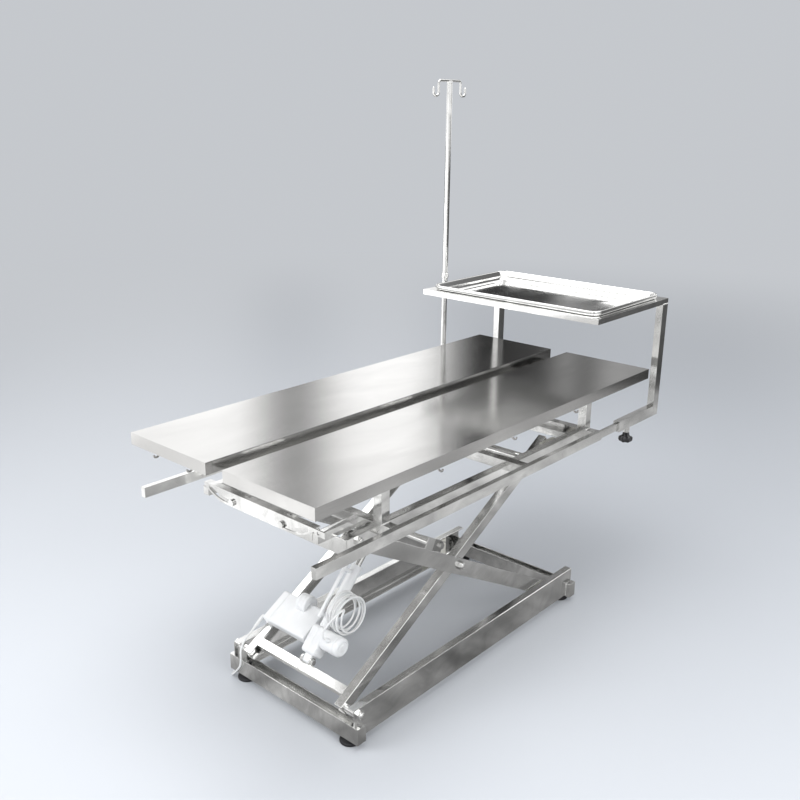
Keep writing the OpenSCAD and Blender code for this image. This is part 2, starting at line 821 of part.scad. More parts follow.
// The outer tube, its end cap and the thin tube clipped along it
module actuator_tube() {
    bore_r = act_rod_r + 2;
    cap_l = 12;
    side0 = 100;
    side1 = 240;
    clip_w = 8;
    color("white") at_origin() on_actuator() {
        difference() {
            rod_x(act_tube_r, case_t1, act_tube_end);
            rod_x(bore_r, case_t1 + 4, act_tube_end - cap_l);
            rod_x(act_rod_r + fit, act_tube_end - cap_l - stub, act_tube_end + stub);
        }
        translate([0, 0, side_tube_n]) rod_x(side_tube_r, side0, side1);
        for (t = [side0 + 6, side1 - 6 - clip_w])
            difference() {
                block([t, -3, act_tube_r - 2], [t + clip_w, 3, side_tube_n]);
                rod_x(act_tube_r - 1, case_t1, act_tube_end);
            }
    }
}

// The rod with its eye, and the pin with its washers in the outer arms' lugs
module actuator_rod() {
    washer_r = lug_hole_r + 5;
    pin_half = lug_in + lug_t + 8;
    color("silver") at_origin() on_actuator() {
        rod_x(act_rod_r, rod_back_t, act_l - rod_eye_r + 4);
        translate([act_l, 0, 0]) {
            rod_y(rod_eye_r, -rod_eye_half, rod_eye_half);
            rod_y(bolt_r, -pin_half, pin_half);
            for (side = [-1, 1]) on_side(side) {
                rod_y(washer_r, lug_in + lug_t + seat, lug_in + lug_t + seat + 2);
                hex_y(nut_af, lug_in + lug_t + seat + 2, pin_half);
            }
        }
    }
}

// Control box on the left inner arm, with its round cover and two cable glands

module control_box() {
    color("white") at_origin() on_arm_a() {
        block([box_s, box_y0, box_off], [box_s + box_l, box_y1, box_off + box_h]);
        translate([box_s + box_l - disc_in, 0, box_off + box_h - disc_sunk])
            rod_y(disc_r, disc_mid_y - disc_w / 2, disc_mid_y + disc_w / 2);
        translate([lead_gland_s, 0, lead_gland_off]) rod_y(gland_r, box_y1, box_y1 + gland_l);
        translate([motor_gland_s, 0, motor_gland_off]) rod_y(gland_r, motor_exit_y, box_y0);
    }
}

// The motor cable leaves the box near the hank's first loop: places in the actuator's frame,
// and the same place on the box in the inner arm's frame
cable_start_t = 85;
cable_start_n = -22;
cable_start_x = rear_x + cable_start_t * cos(act_angle) - cable_start_n * sin(act_angle);
cable_start_z = rear_z + cable_start_t * sin(act_angle) + cable_start_n * cos(act_angle);
motor_gland_s = (cable_start_x - pivot_x) * cos(lift_angle) + (cable_start_z - pivot_z) * sin(lift_angle);
motor_gland_off = (cable_start_z - pivot_z) * cos(lift_angle) - (cable_start_x - pivot_x) * sin(lift_angle);
motor_exit_y = box_y0 - 4;

// Box to hank, and hank to motor, in the actuator's frame
cable_in_points = [
    [case_t1 + 12, 10, -26],
    [case_t1 + 14, -4, -29]
];
cable_out_points = [
    [140, -64, 47],
    [120, -60, 58],
    [82, -48, 58],
    [66, -45, 50]
];
cable_in = lead_path([cable_start_t, motor_exit_y - act_y, cable_start_n], [0, -1, 0], cable_in_points,
                     hank_first_dir, hank_in);
cable_out = lead_path(hank_out, hank_last_dir, cable_out_points, [0, 0, -1],
                      [motor_t, motor_gland_y, motor_r + motor_gland_l]);

module motor_cable() {
    color("white") at_origin() on_actuator() {
        tube_along(cable_in, cable_r, 8);
        tube_along(cable_out, cable_r, 8);
    }
}

module cable_hank() {
    color("white") at_origin() on_actuator() tube_along(hank_path, cable_r, 6);
}

// Mains lead: from the box's outer gland down over the near channel, under it and to the stored
// coil, and from the coil's end to the plug
lead_exit_x = pivot_x + lead_gland_s * cos(lift_angle) - lead_gland_off * sin(lift_angle);
lead_exit_z = pivot_z + lead_gland_s * sin(lift_angle) + lead_gland_off * cos(lift_angle);
lead_points = [
    [-395, 183, 146],
    [-422, 183, 128],
    [-450, 182, 110],
    [-466, 179, 90],
    [-470, 176, 68],
    [-469, 182, 44],
    [-470, 198, 22],
    [-471, 211, 8],
    [-463, 221, 3],
    [-445, 226, 2.5],
    [-415, 229, 2.5],
    [-380, 229, 2.5],
    [-358, 228, 2.5]
];
tail_points = [
    [-306, 228, 17],
    [-286, 229, 12]
];
plug_face_x = coil_x + 68;
plug_y = coil_y - coil_out_r + 2;
plug_r = 9;
lead_path_out = lead_path([lead_exit_x, box_y1 + gland_l, lead_exit_z], [0, 1, 0], lead_points,
                          first_dir, coil_in);
tail_path = lead_path(coil_out, last_dir, tail_points, [1, 0, 0], [plug_face_x, plug_y, plug_r]);

module mains_lead() {
    color("white") at_origin() {
        tube_along(lead_path_out, cable_r, 8);
        tube_along(tail_path, cable_r, 8);
    }
}

module mains_coil() {
    color("white") at_origin() tube_along(coil_path, cable_r, 6);
}

// Generic two-pin plug lying on the floor at the lead's end
module mains_plug() {
    sleeve_l = 8;
    body_l = 34;
    body_half = 13;
    pin_l = 18;
    pin_y = 7;
    pin_r = 2;
    color("white") at_origin() translate([plug_face_x, plug_y, plug_r]) {
        rotate([0, 90, 0]) cylinder(r1 = cable_r + 1, r2 = 5, h = sleeve_l);
        intersection() {
            rod_x(body_half, sleeve_l, sleeve_l + body_l);
            block([sleeve_l, -body_half, -plug_r], [sleeve_l + body_l, body_half, plug_r]);
        }
        for (y = [-pin_y, pin_y]) translate([0, y, 0])
            rod_x(pin_r, sleeve_l + body_l, sleeve_l + body_l + pin_l);
    }
}

// Upper frame

module upper_channel(side) {
    color("silver") at_origin() on_side(side) difference() {
        channel(upper_near_x + wall, far_end_x - wall, upper_ch_z, frame_z, channel_y, side_d, wall, wall);
        translate([pivot_x, 0, upper_pivot_z]) rod_y(bolt_r + fit, channel_y - wall - stub, channel_y + stub);
    }
}

module upper_end_plates() {
    color("silver") at_origin() for (x = [upper_near_x, far_end_x - wall])
        block([x, -channel_y, upper_ch_z], [x + wall, channel_y, frame_z]);
}

// Pivot bolts of the outer arms, each with its bush, nut and outer head
module upper_pivots() {
    head_h = 6;
    color("gainsboro") at_origin() for (side = [-1, 1]) on_side(side) translate([pivot_x, 0, upper_pivot_z]) {
        rod_y(bolt_r, arm_b_y - arm_b_t - seat - nut_h, channel_y + head_h);
        hex_y(nut_af, arm_b_y - arm_b_t - seat - nut_h, arm_b_y - arm_b_t - seat);
        hex_y(nut_af, channel_y, channel_y + head_h);
        difference() {
            rod_y(bush_r, arm_b_y + seat, channel_y - wall);
            rod_y(bolt_r + fit, arm_b_y - stub, channel_y);
        }
    }
}

// A square tube across the frame with the stand for the drain trough
module crosspiece(x, posts) {
    half = cross_w / 2;
    translate([x, 0, 0]) {
        difference() {
            block([-half, -rail_in_y, frame_z], [half, rail_in_y, cross_top_z]);
            block([tube_wall - half, -rail_in_y - stub, frame_z + tube_wall],
                  [half - tube_wall, rail_in_y + stub, cross_top_z - tube_wall]);
        }
        block([-stand_w / 2, -stand_w / 2, cross_top_z], [stand_w / 2, stand_w / 2, trough_z]);
        if (posts) for (side = [-1, 1]) on_side(side)
            block([-half, post_y - half, cross_top_z], [half, post_y + half, post_top_z]);
    }
}

module crosspiece_near() {
    color("silver") at_origin() crosspiece(near_cross_x, true);
}

module crosspiece_far() {
    color("silver") at_origin() crosspiece(far_cross_x, true);
}

// The middle crosspiece has no rest posts but carries the feet of the two struts
module crosspiece_mid() {
    ear_in = strut_eye_half + seat;
    ear_half = 9;
    color("silver") at_origin() {
        crosspiece(mid_cross_x, false);
        for (side = [-1, 1]) on_side(side) translate([mid_cross_x, strut_foot_y, cross_top_z]) {
            for (x = [-1, 1]) translate([x * (ear_in + strut_ear_t / 2), 0, 0]) {
                block([-strut_ear_t / 2, -ear_half, 0], [strut_ear_t / 2, ear_half, strut_foot_z]);
                translate([0, 0, strut_foot_z]) rod_x(ear_half, -strut_ear_t / 2, strut_ear_t / 2);
            }
            translate([0, 0, strut_foot_z]) rod_x(strut_pin_r, -ear_in - strut_ear_t, ear_in + strut_ear_t);
        }
    }
}

module rest_pads() {
    half = cross_w / 2;
    color("dimgray") at_origin() for (x = [near_cross_x, far_cross_x], side = [-1, 1]) on_side(side)
        block([x - half, post_y - half, post_top_z], [x + half, post_y + half, post_top_z + pad_t]);
}

// A long rail, closed at its near end, with the extension bar that the tray frame slides on
module rail(side) {
    color("silver") at_origin() on_side(side) {
        tube_x(rail_near_x, rail_far_x, rail_in_y, rail_y, frame_z, cross_top_z, tube_wall);
        block([rail_near_x, rail_in_y, frame_z], [rail_near_x + tube_wall, rail_y, cross_top_z]);
        block([rail_far_x - bar_root_l, rail_y - tube_wall - bar_w, frame_z + tube_wall],
              [rail_far_x - root_pad_in, rail_y - tube_wall, rail_mid_z + bar_h / 2]);
        block([rail_far_x - bar_root_l, bar_y - bar_w / 2, rail_mid_z - bar_h / 2],
              [bar_end_x, bar_y + bar_w / 2, rail_mid_z + bar_h / 2]);
    }
}

// The near end plate with its two lobes and curved slots, the two stringers that
// hold it, and its folded top flange
module saddle() {
    plate_t = 3;
    stringer_w = 18;
    stringer_y0 = saddle_half - 10;
    stringer_h = 20;
    z0 = cross_top_z - stringer_h;
    z1 = z0 + saddle_h;
    fold_w = 15;
    lobe_z = z0 + lobe_r;
    slot_r = lobe_r - slot_w;
    ear_w = 31;
    ear_h = 14;
    ear_hole_r = 4;
    ear_hole_in = 12;
    slot_bolt_turn = 8;
    slot_bolt_r = 4;
    slot_head_r = 8;
    slot_head_h = 5;
    color("silver") at_origin() {
        translate([saddle_x - plate_t, 0, 0]) rotate([90, 0, 90]) linear_extrude(plate_t) difference() {
            union() {
                intersection() {
                    translate([-saddle_half, z0]) square([2 * saddle_half, saddle_h]);
                    union() {
                        translate([-lobe_y, z0 - stub]) square([2 * lobe_y, saddle_h + 2 * stub]);
                        for (y = [-lobe_y, lobe_y]) translate([y, lobe_z]) circle(r = lobe_r, $fn = 96);
                    }
                }
                translate([-saddle_half - ear_w, z1 - ear_h]) square([ear_w, ear_h]);
            }
            for (side = [-1, 1]) scale([side, 1]) translate([lobe_y, lobe_z]) curved_slot(slot_r);
            translate([-saddle_half - ear_hole_in, z1 - ear_h / 2]) circle(r = ear_hole_r);
        }
        block([saddle_x, -saddle_half, z1 - plate_t], [saddle_x + fold_w, saddle_half, z1]);
        for (side = [-1, 1]) on_side(side) {
            tube_x(saddle_x, near_cross_x - cross_w / 2, stringer_y0, stringer_y0 + stringer_w,
                   z0, cross_top_z, tube_wall);
            block([saddle_x, stringer_y0, z0],
                  [saddle_x + tube_wall, stringer_y0 + stringer_w, cross_top_z]);
            translate([saddle_x, lobe_y, lobe_z]) rotate([-slot_bolt_turn, 0, 0]) translate([0, 0, -slot_r]) {
                rod_x(slot_bolt_r, -plate_t - slot_head_h, slot_head_h + 1);
                rod_x(slot_head_r, -plate_t - slot_head_h, -plate_t);
                rod_x(slot_head_r, 0, slot_head_h);
            }
        }
    }
}

slot_a0 = -98;
slot_a1 = -62;

// A slot along an arc about the lobe's centre, with round ends
module curved_slot(r) {
    steps = 12;
    half = slot_w / 2;
    arc = [for (i = [0 : steps]) slot_a0 + (slot_a1 - slot_a0) * i / steps];
    polygon(concat(
        [for (a = arc) (r - half) * [cos(a), sin(a)]],
        [for (i = [steps : -1 : 0]) (r + half) * [cos(arc[i]), sin(arc[i])]]
    ));
    for (a = [slot_a0, slot_a1]) translate(r * [cos(a), sin(a)]) circle(r = half);
}

hinge_n = 5;
knuckle_l = hinge_l / hinge_n;
trough_half = hinge_y - knuckle_r;

// The trough under the gap, with its drain spigot and the fixed hinge leaves on its sides
module drain_trough() {
    leaf_t = 2.5;
    leaf_h = 14;
    knuckle_foot = 2;
    spigot_x = trough_l / 2 - 20;
    color("silver") at_origin() translate([trough_mid_x, 0, 0]) {
        difference() {
            union() {
                block([-trough_l / 2, -trough_half, trough_z], [trough_l / 2, trough_half, trough_top_z]);
                translate([spigot_x, 0, trough_z - spigot_l]) cylinder(r = spigot_r, h = spigot_l);
            }
            block([sheet_t - trough_l / 2, sheet_t - trough_half, trough_z + sheet_t],
                  [trough_l / 2 - sheet_t, trough_half - sheet_t, trough_top_z + stub]);
            translate([spigot_x, 0, trough_z - spigot_l - stub])
                cylinder(r = spigot_r - 2, h = spigot_l + sheet_t + 2 * stub);
        }
    }
    color("silver") at_origin() for (side = [-1, 1], x = [-hinge_pitch, 0, hinge_pitch]) on_side(side)
        translate([x - hinge_l / 2, 0, 0]) difference() {
            union() {
                block([0, trough_half, hinge_z - leaf_h],
                      [hinge_l, trough_half + leaf_t, hinge_z - knuckle_r / 2]);
                for (k = [0 : 2 : hinge_n - 1]) translate([0, hinge_y, hinge_z]) {
                    rod_x(knuckle_r, k * knuckle_l + seat, (k + 1) * knuckle_l - seat);
                    block([k * knuckle_l + seat, -knuckle_r, -knuckle_r - knuckle_foot],
                          [(k + 1) * knuckle_l - seat, 0, 0]);
                }
            }
            for (k = [1 : 2 : hinge_n - 1]) translate([0, hinge_y, hinge_z])
                rod_x(knuckle_r + seat, k * knuckle_l - seat, (k + 1) * knuckle_l + seat);
            translate([0, hinge_y, hinge_z]) rod_x(hinge_pin_r + fit, -stub, hinge_l + stub);
        }
}

module hinge_pins() {
    color("gainsboro") at_origin() for (side = [-1, 1], x = [-hinge_pitch, 0, hinge_pitch]) on_side(side)
        translate([x - hinge_l / 2, hinge_y, hinge_z]) {
            rod_x(hinge_pin_r, -2, hinge_l + 2);
            rod_x(hinge_pin_r + 1.5, -2, -seat);
            rod_x(hinge_pin_r + 1.5, hinge_l + seat, hinge_l + 2);
        }
}

// Tabletop

// A folded pan with return flanges, two box ribs and the bracket of its strut
module panel(side) {
    y0 = table_gap / 2;
    y1 = table_w / 2;
    x1 = table_l / 2;
    bracket_in = strut_eye_half + seat;
    bracket_t = 3;
    hook_in = sheet_t + hook_wire_r + 2 * hook_bend_r;
    bracket_half = 8;
    bracket_z = hinge_z - 2;
    mid_hook_x = 3;
    end_hook_y = [y0 + 71, y1 - 79];
    color("lightgray") at_origin() on_side(side) {
        difference() {
            block([-x1, y0, panel_z], [x1, y1, top_z]);
            block([-x1 + sheet_t, y0 + sheet_t, panel_z + sheet_t],
                  [x1 - sheet_t, y1 - sheet_t, top_z - sheet_t]);
            block([-x1 + lip_w, y0 + lip_w, panel_z - stub],
                  [x1 - lip_w, y1 - lip_w, panel_z + sheet_t + stub]);
        }
        for (x = [near_cross_x, far_cross_x]) difference() {
            block([x - rib_w / 2, y0 + sheet_t, panel_z], [x + rib_w / 2, y1 - sheet_t, top_z - sheet_t]);
            block([x - rib_w / 2 + sheet_t, y0 + lip_w, panel_z + 2 * sheet_t],
                  [x + rib_w / 2 - sheet_t, y1 - lip_w, top_z - sheet_t]);
        }
        translate([mid_cross_x, strut_top_y, bracket_z]) {
            for (x = [-1, 1]) translate([x * (bracket_in + bracket_t / 2), 0, 0]) {
                block([-bracket_t / 2, -bracket_half, 0],
                      [bracket_t / 2, bracket_half, top_z - sheet_t - bracket_z]);
                rod_x(bracket_half, -bracket_t / 2, bracket_t / 2);
            }
            rod_x(strut_pin_r, -bracket_in - bracket_t - 2, bracket_in + bracket_t + 2);
        }
        for (k = [-1, 0, 1]) translate([mid_hook_x + k * hook_pitch, y1 - hook_in, 0]) tie_hook();
        for (y = end_hook_y) translate([-x1 + hook_in, y, 0]) rotate([0, 0, 90]) tie_hook();
    }
}

// A bent wire hook welded under the return flange, opening upwards on its outer side
module tie_hook() {
    drop = 8;
    translate([0, 0, panel_z - drop]) {
        cylinder(r = hook_wire_r, h = drop);
        translate([0, hook_bend_r, 0]) rotate([0, 90, 0]) rotate([0, 0, -90])
            rotate_extrude(angle = 180) translate([hook_bend_r, 0]) circle(r = hook_wire_r);
    }
}

// The moving leaf of the hinges, against the panel's inner return flange
module hinge_leaf(side) {
    leaf_t = 3;
    leaf_y1 = table_gap / 2 + lip_w - 2;
    color("gainsboro") at_origin() on_side(side) for (x = [-hinge_pitch, 0, hinge_pitch])
        translate([x - hinge_l / 2, 0, 0]) difference() {
            union() {
                block([0, hinge_y + knuckle_r + 1, panel_z - leaf_t], [hinge_l, leaf_y1, panel_z]);
                for (k = [1 : 2 : hinge_n - 1]) {
                    translate([0, hinge_y, hinge_z])
                        rod_x(knuckle_r, k * knuckle_l + seat, (k + 1) * knuckle_l - seat);
                    block([k * knuckle_l + seat, hinge_y, panel_z - leaf_t],
                          [(k + 1) * knuckle_l - seat, leaf_y1, panel_z]);
                }
            }
            translate([0, hinge_y, hinge_z]) rod_x(hinge_pin_r + fit, -stub, hinge_l + stub);
        }
}

module strut_body(side) {
    start = 12;
    color("dimgray") at_origin() on_strut(side) difference() {
        union() {
            rod_y(strut_eye_r, -strut_eye_half, strut_eye_half);
            block([0, -strut_eye_half, -4], [start + stub, strut_eye_half, 4]);
            rod_x(strut_r, start, start + strut_body_l);
        }
        rod_y(strut_pin_r + fit, -strut_r, strut_r);
        rod_x(strut_rod_r + 1.5, start + 8, start + strut_body_l - 6);
        rod_x(strut_rod_r + fit, start + 8, start + strut_body_l + stub);
    }
}

module strut_rod(side) {
    back = 50;
    color("gainsboro") at_origin() on_strut(side) difference() {
        union() {
            rod_x(strut_rod_r, back, strut_l - 4);
            translate([strut_l, 0, 0]) rod_y(strut_eye_r, -strut_eye_half, strut_eye_half);
        }
        translate([strut_l, 0, 0]) rod_y(strut_pin_r + strut_play, -strut_r, strut_r);
    }
}

// Tray at the far end

// Square tubes: two arms over the extension bars, two posts and the flat top frame
module tray_frame() {
    y0 = frame_y - tray_tube_w;
    z0 = rail_mid_z - tray_tube_h / 2;
    z1 = rail_mid_z + tray_tube_h / 2;
    boss_r = 9;
    color("silver") at_origin() {
        for (side = [-1, 1]) on_side(side) {
            difference() {
                union() {
                    tube_x(arm_mouth_x, tray_x1 - post_l, y0, frame_y, z0, z1, tube_wall);
                    translate([knob_x, bar_y, z0 - boss_h]) cylinder(r = boss_r, h = boss_h);
                }
                translate([knob_x, bar_y, z0 - boss_h - stub])
                    cylinder(r = stud_r + fit, h = boss_h + tube_wall + 2 * stub);
            }
            difference() {
                block([arm_mouth_x, y0 + tube_wall, z0 + tube_wall],
                      [arm_mouth_x + guide_l, frame_y - tube_wall, z1 - tube_wall]);
                block([arm_mouth_x - stub, bar_y - bar_w / 2 - seat, rail_mid_z - bar_h / 2 - seat],
                      [arm_mouth_x + guide_l + stub, bar_y + bar_w / 2 + seat,
                       rail_mid_z + bar_h / 2 + seat]);
            }
            block([tray_x1 - post_l, y0, z0], [tray_x1, frame_y, tray_top_z - tray_bar_h]);
        }
        difference() {
            block([tray_x0, -frame_y, tray_top_z - tray_bar_h], [tray_x1, frame_y, tray_top_z]);
            block([tray_x0 + tray_ledge, tray_ledge - frame_y, tray_top_z - tray_bar_h - stub],
                  [tray_x1 - tray_ledge, frame_y - tray_ledge, tray_top_z + stub]);
        }
    }
}

// The lift-out tray: a raised rim on the frame and a stepped cup through its opening
module tray() {
    gap = 2;
    rim_z = tray_top_z + seat;
    cup_x0 = tray_x0 + tray_ledge + gap;
    cup_x1 = tray_x1 - tray_ledge - gap;
    cup_y = frame_y - tray_ledge - gap;
    rim_in = rim_inset + sheet_t;
    floor_z = rim_z - tray_depth;
    color("gainsboro") at_origin() difference() {
        union() {
            translate([0, 0, rim_z]) linear_extrude(tray_rim_h)
                rounded_2d([tray_x0 + rim_inset, rim_inset - frame_y],
                           [tray_x1 - rim_inset, frame_y - rim_inset], rim_corner_r);
            translate([0, 0, floor_z]) linear_extrude(tray_depth)
                rounded_2d([cup_x0, -cup_y], [cup_x1, cup_y], tray_corner_r);
        }
        translate([0, 0, floor_z + sheet_t]) linear_extrude(tray_depth + tray_rim_h)
            rounded_2d([cup_x0 + sheet_t, sheet_t - cup_y], [cup_x1 - sheet_t, cup_y - sheet_t],
                       tray_corner_r - sheet_t);
        translate([0, 0, rim_z + sheet_t]) linear_extrude(tray_rim_h)
            rounded_2d([tray_x0 + rim_in, rim_in - frame_y], [tray_x1 - rim_in, frame_y - rim_in],
                       rim_corner_r - sheet_t);
    }
}

// A star knob whose stud locks the tray frame on its bar
module star_knob(side) {
    lobes = 6;
    head_h = 16;
    hub_h = 12;
    head_z = rail_mid_z - tray_tube_h / 2 - boss_h - hub_h - head_h - seat;
    color("dimgray") at_origin() on_side(side) translate([knob_x, bar_y, head_z]) {
        difference() {
            cylinder(r = star_r, h = head_h);
            for (k = [0 : lobes - 1]) rotate([0, 0, 360 / lobes * k])
                translate([star_r + 3, 0, -stub]) cylinder(r = 7, h = head_h + 2 * stub);
        }
        translate([0, 0, head_h]) cylinder(r1 = 13, r2 = 9, h = hub_h);
        cylinder(r = stud_r, h = rail_mid_z - bar_h / 2 - seat - head_z);
    }
}

// Drip stand

// The block that grips the left rail from outside and holds the pole in its bore
module pole_clamp() {
    x1 = rail_far_x;
    z0 = rail_mid_z - clamp_half_h;
    z1 = rail_mid_z + clamp_half_h;
    outer_y = rail_y + 5;
    color("silver") at_origin() difference() {
        union() {
            block([clamp_x, rail_in_y + 1, z0], [x1, clamp_out_y, z1]);
            block([clamp_x, outer_y, z0], [pole_x + 20, clamp_out_y, z1]);
        }
        block([clamp_x - stub, rail_in_y - stub, frame_z], [x1 + stub, rail_y, cross_top_z]);
        translate([pole_x, pole_y, z0 - stub]) cylinder(r = pole_r + fit, h = z1 - z0 + 2 * stub);
        translate([pole_x, 0, rail_mid_z]) rod_y(stud_r + fit, pole_y, clamp_out_y + stub);
    }
}

module drip_pole() {
    pole_wall = 1.5;
    color("silver") at_origin() translate([pole_x, pole_y, pole_z]) difference() {
        cylinder(r = pole_r, h = pole_l);
        translate([0, 0, 10]) cylinder(r = pole_r - pole_wall, h = pole_l);
    }
}

// The bent wire bottle hook, turning on a plug in the pole's open end
module bottle_hook() {
    bend_r = 8;
    hook_r = 11;
    plug_l = 30;
    bar_z = 8;
    color("silver") at_origin() translate([pole_x, pole_y, pole_z + pole_l + seat]) {
        translate([0, 0, -plug_l]) cylinder(r = pole_r - 1.5 - fit, h = plug_l);
        cylinder(r = pole_r, h = bar_z);
        translate([0, 0, bar_z]) {
            rod_x(hanger_r, bend_r - hanger_half, hanger_half - bend_r);
            for (side = [0, 180]) rotate([0, 0, side]) {
                translate([hanger_half - bend_r, 0, -bend_r]) rotate([90, 0, 0])
                    rotate_extrude(angle = 90) translate([bend_r, 0]) circle(r = hanger_r);
                translate([hanger_half, 0, -hanger_drop]) cylinder(r = hanger_r, h = hanger_drop - bend_r);
                translate([hanger_half + hook_r, 0, -hanger_drop]) rotate([90, 180, 0])
                    rotate_extrude(angle = 180) translate([hook_r, 0]) circle(r = hanger_r);
                translate([hanger_half + 2 * hook_r, 0, -hanger_drop]) cylinder(r = hanger_r, h = 10);
                translate([hanger_half + 2 * hook_r, 0, 10 - hanger_drop]) sphere(r = hanger_r);
            }
        }
    }
}

// The clamp knob: its stud presses on the pole
module pole_knob() {
    head_r = 14;
    color("dimgray") at_origin() translate([pole_x, 0, rail_mid_z]) {
        rod_y(stud_r, pole_y + pole_r + seat, clamp_out_y + knob_l);
        rod_y(8, clamp_out_y + seat, clamp_out_y + 12);
        translate([0, clamp_out_y + knob_l, 0]) rotate([90, 0, 0]) cylinder(r = head_r, h = 16, $fn = 8);
    }
}

side_channel(1);  // side_channel_left
side_channel(-1);  // side_channel_right
cross_channel_near();
cross_channel_far();
lower_pivots();
foot(foot_near_x, 1);  // foot_near_left
foot(foot_near_x, -1);  // foot_near_right
foot(foot_far_x, 1);  // foot_far_left
foot(foot_far_x, -1);  // foot_far_right
mains_lead();
mains_coil();
mains_plug();
arm_a(1);  // arm_a_left
arm_a(-1);  // arm_a_right
arm_a_cross_low();
arm_a_cross_high();
arm_a_pins();
control_box();
arm_b(1);  // arm_b_left
arm_b(-1);  // arm_b_right
arm_b_cross();
arm_b_pins();
slider_lower(1);  // slider_lower_left
slider_lower(-1);  // slider_lower_right
slider_upper(1);  // slider_upper_left
slider_upper(-1);  // slider_upper_right
actuator_case();
actuator_tube();
actuator_rod();
motor_cable();
cable_hank();
upper_channel(1);  // upper_channel_left
upper_channel(-1);  // upper_channel_right
upper_end_plates();
upper_pivots();
crosspiece_near();
crosspiece_mid();
crosspiece_far();
rest_pads();
rail(1);  // rail_left
rail(-1);  // rail_right
saddle();
drain_trough();
hinge_pins();
pole_clamp();
panel(1);  // panel_left
panel(-1);  // panel_right
hinge_leaf(1);  // hinge_leaf_left
hinge_leaf(-1);  // hinge_leaf_right
strut_body(1);  // strut_body_left
strut_body(-1);  // strut_body_right
strut_rod(1);  // strut_rod_left
strut_rod(-1);  // strut_rod_right
tray_frame();
tray();
star_knob(1);  // star_knob_left
star_knob(-1);  // star_knob_right
drip_pole();
bottle_hook();
pole_knob();
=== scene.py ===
"""Looks of the veterinary dissection table, laid out as a Blender add-on and run as a script.

Lengths are in metres. The solids give every place; the pieces here dress them: rounded folds
and tubes, a pressed tray, moulded knobs and covers, domed nuts, welds and the white cables.
"""

import json
from math import cos, pi, radians, sin

import bmesh
import bpy
import numpy as np
from bpy.props import FloatProperty, FloatVectorProperty, PointerProperty
from mathutils import Matrix, Vector


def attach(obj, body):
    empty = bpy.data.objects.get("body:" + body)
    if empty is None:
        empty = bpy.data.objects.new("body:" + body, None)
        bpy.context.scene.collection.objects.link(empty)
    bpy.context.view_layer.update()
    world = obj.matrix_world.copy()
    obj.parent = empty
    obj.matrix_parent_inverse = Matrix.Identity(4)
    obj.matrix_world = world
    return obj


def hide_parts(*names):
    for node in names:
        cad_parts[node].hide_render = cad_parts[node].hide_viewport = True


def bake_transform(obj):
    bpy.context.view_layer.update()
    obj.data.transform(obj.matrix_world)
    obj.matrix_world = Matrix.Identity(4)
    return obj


bl_info = {
    "name": "Veterinary dissection table",
    "version": (1, 0, 0),
    "blender": (4, 5, 0),
    "location": "3D View > Sidebar > Table",
    "description": "Builds the looks of a stainless steel dissection table on its scissor lift",
    "category": "Add Mesh",
}

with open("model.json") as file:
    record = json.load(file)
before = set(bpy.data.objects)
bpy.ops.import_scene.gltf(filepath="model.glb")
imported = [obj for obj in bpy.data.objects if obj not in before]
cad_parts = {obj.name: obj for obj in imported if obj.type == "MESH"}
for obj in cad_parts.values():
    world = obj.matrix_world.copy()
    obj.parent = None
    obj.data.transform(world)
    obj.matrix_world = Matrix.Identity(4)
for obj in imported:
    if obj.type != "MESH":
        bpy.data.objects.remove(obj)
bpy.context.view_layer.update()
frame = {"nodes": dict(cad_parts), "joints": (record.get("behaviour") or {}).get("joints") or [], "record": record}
JOINTS = {joint["name"]: joint for joint in frame["joints"]}

AHEAD = np.array([1, 0, 0])
SIDEWAYS = np.array([0, 1, 0])
UP = np.array([0, 0, 1])


def unit(vector):
    """The same direction with a length of 1."""
    return vector / np.linalg.norm(vector)


# The lift's pivot as seen from the middle of the tabletop's length at floor level, which is where
# the table's own measures start; the arm's and the actuator's directions come from their joints
LIFT_PLACE = np.array([-0.445, 0, 0.084])
PIVOT = np.array(JOINTS["lift"]["pos_m"])
TABLE_MIDDLE = PIVOT - LIFT_PLACE
ARM_A_CENTRE = np.array(JOINTS["scissor_centre"]["pos_m"])
ARM_A_ALONG = unit(ARM_A_CENTRE - PIVOT)
ARM_A_OUT = np.array([-ARM_A_ALONG[2], 0, ARM_A_ALONG[0]])
ACTUATOR_REAR = np.array(JOINTS["actuator_pivot"]["pos_m"])
ACTUATOR_ALONG = np.array(JOINTS["actuator_stroke"]["axis"])
ACTUATOR_OUT = np.array([-ACTUATOR_ALONG[2], 0, ACTUATOR_ALONG[0]])


def on_table(points):
    """Places measured from the middle of the tabletop's length, at floor level."""
    return np.asarray(points, float) + TABLE_MIDDLE


def beside_line(points, start, ahead, above):
    """Places along, across and above a line that runs from its start square to the table's width."""
    along, across, out = np.moveaxis(np.asarray(points, float), -1, 0)
    return start + along[..., None] * ahead + across[..., None] * SIDEWAYS + out[..., None] * above


def on_arm_a(points):
    """Places along, across and above the inner arms."""
    level = np.array([PIVOT[0], TABLE_MIDDLE[1], PIVOT[2]])
    return beside_line(points, level, ARM_A_ALONG, ARM_A_OUT)


def on_actuator(points):
    """Places along, across and above the actuator's axis."""
    return beside_line(points, ACTUATOR_REAR, ACTUATOR_ALONG, ACTUATOR_OUT)


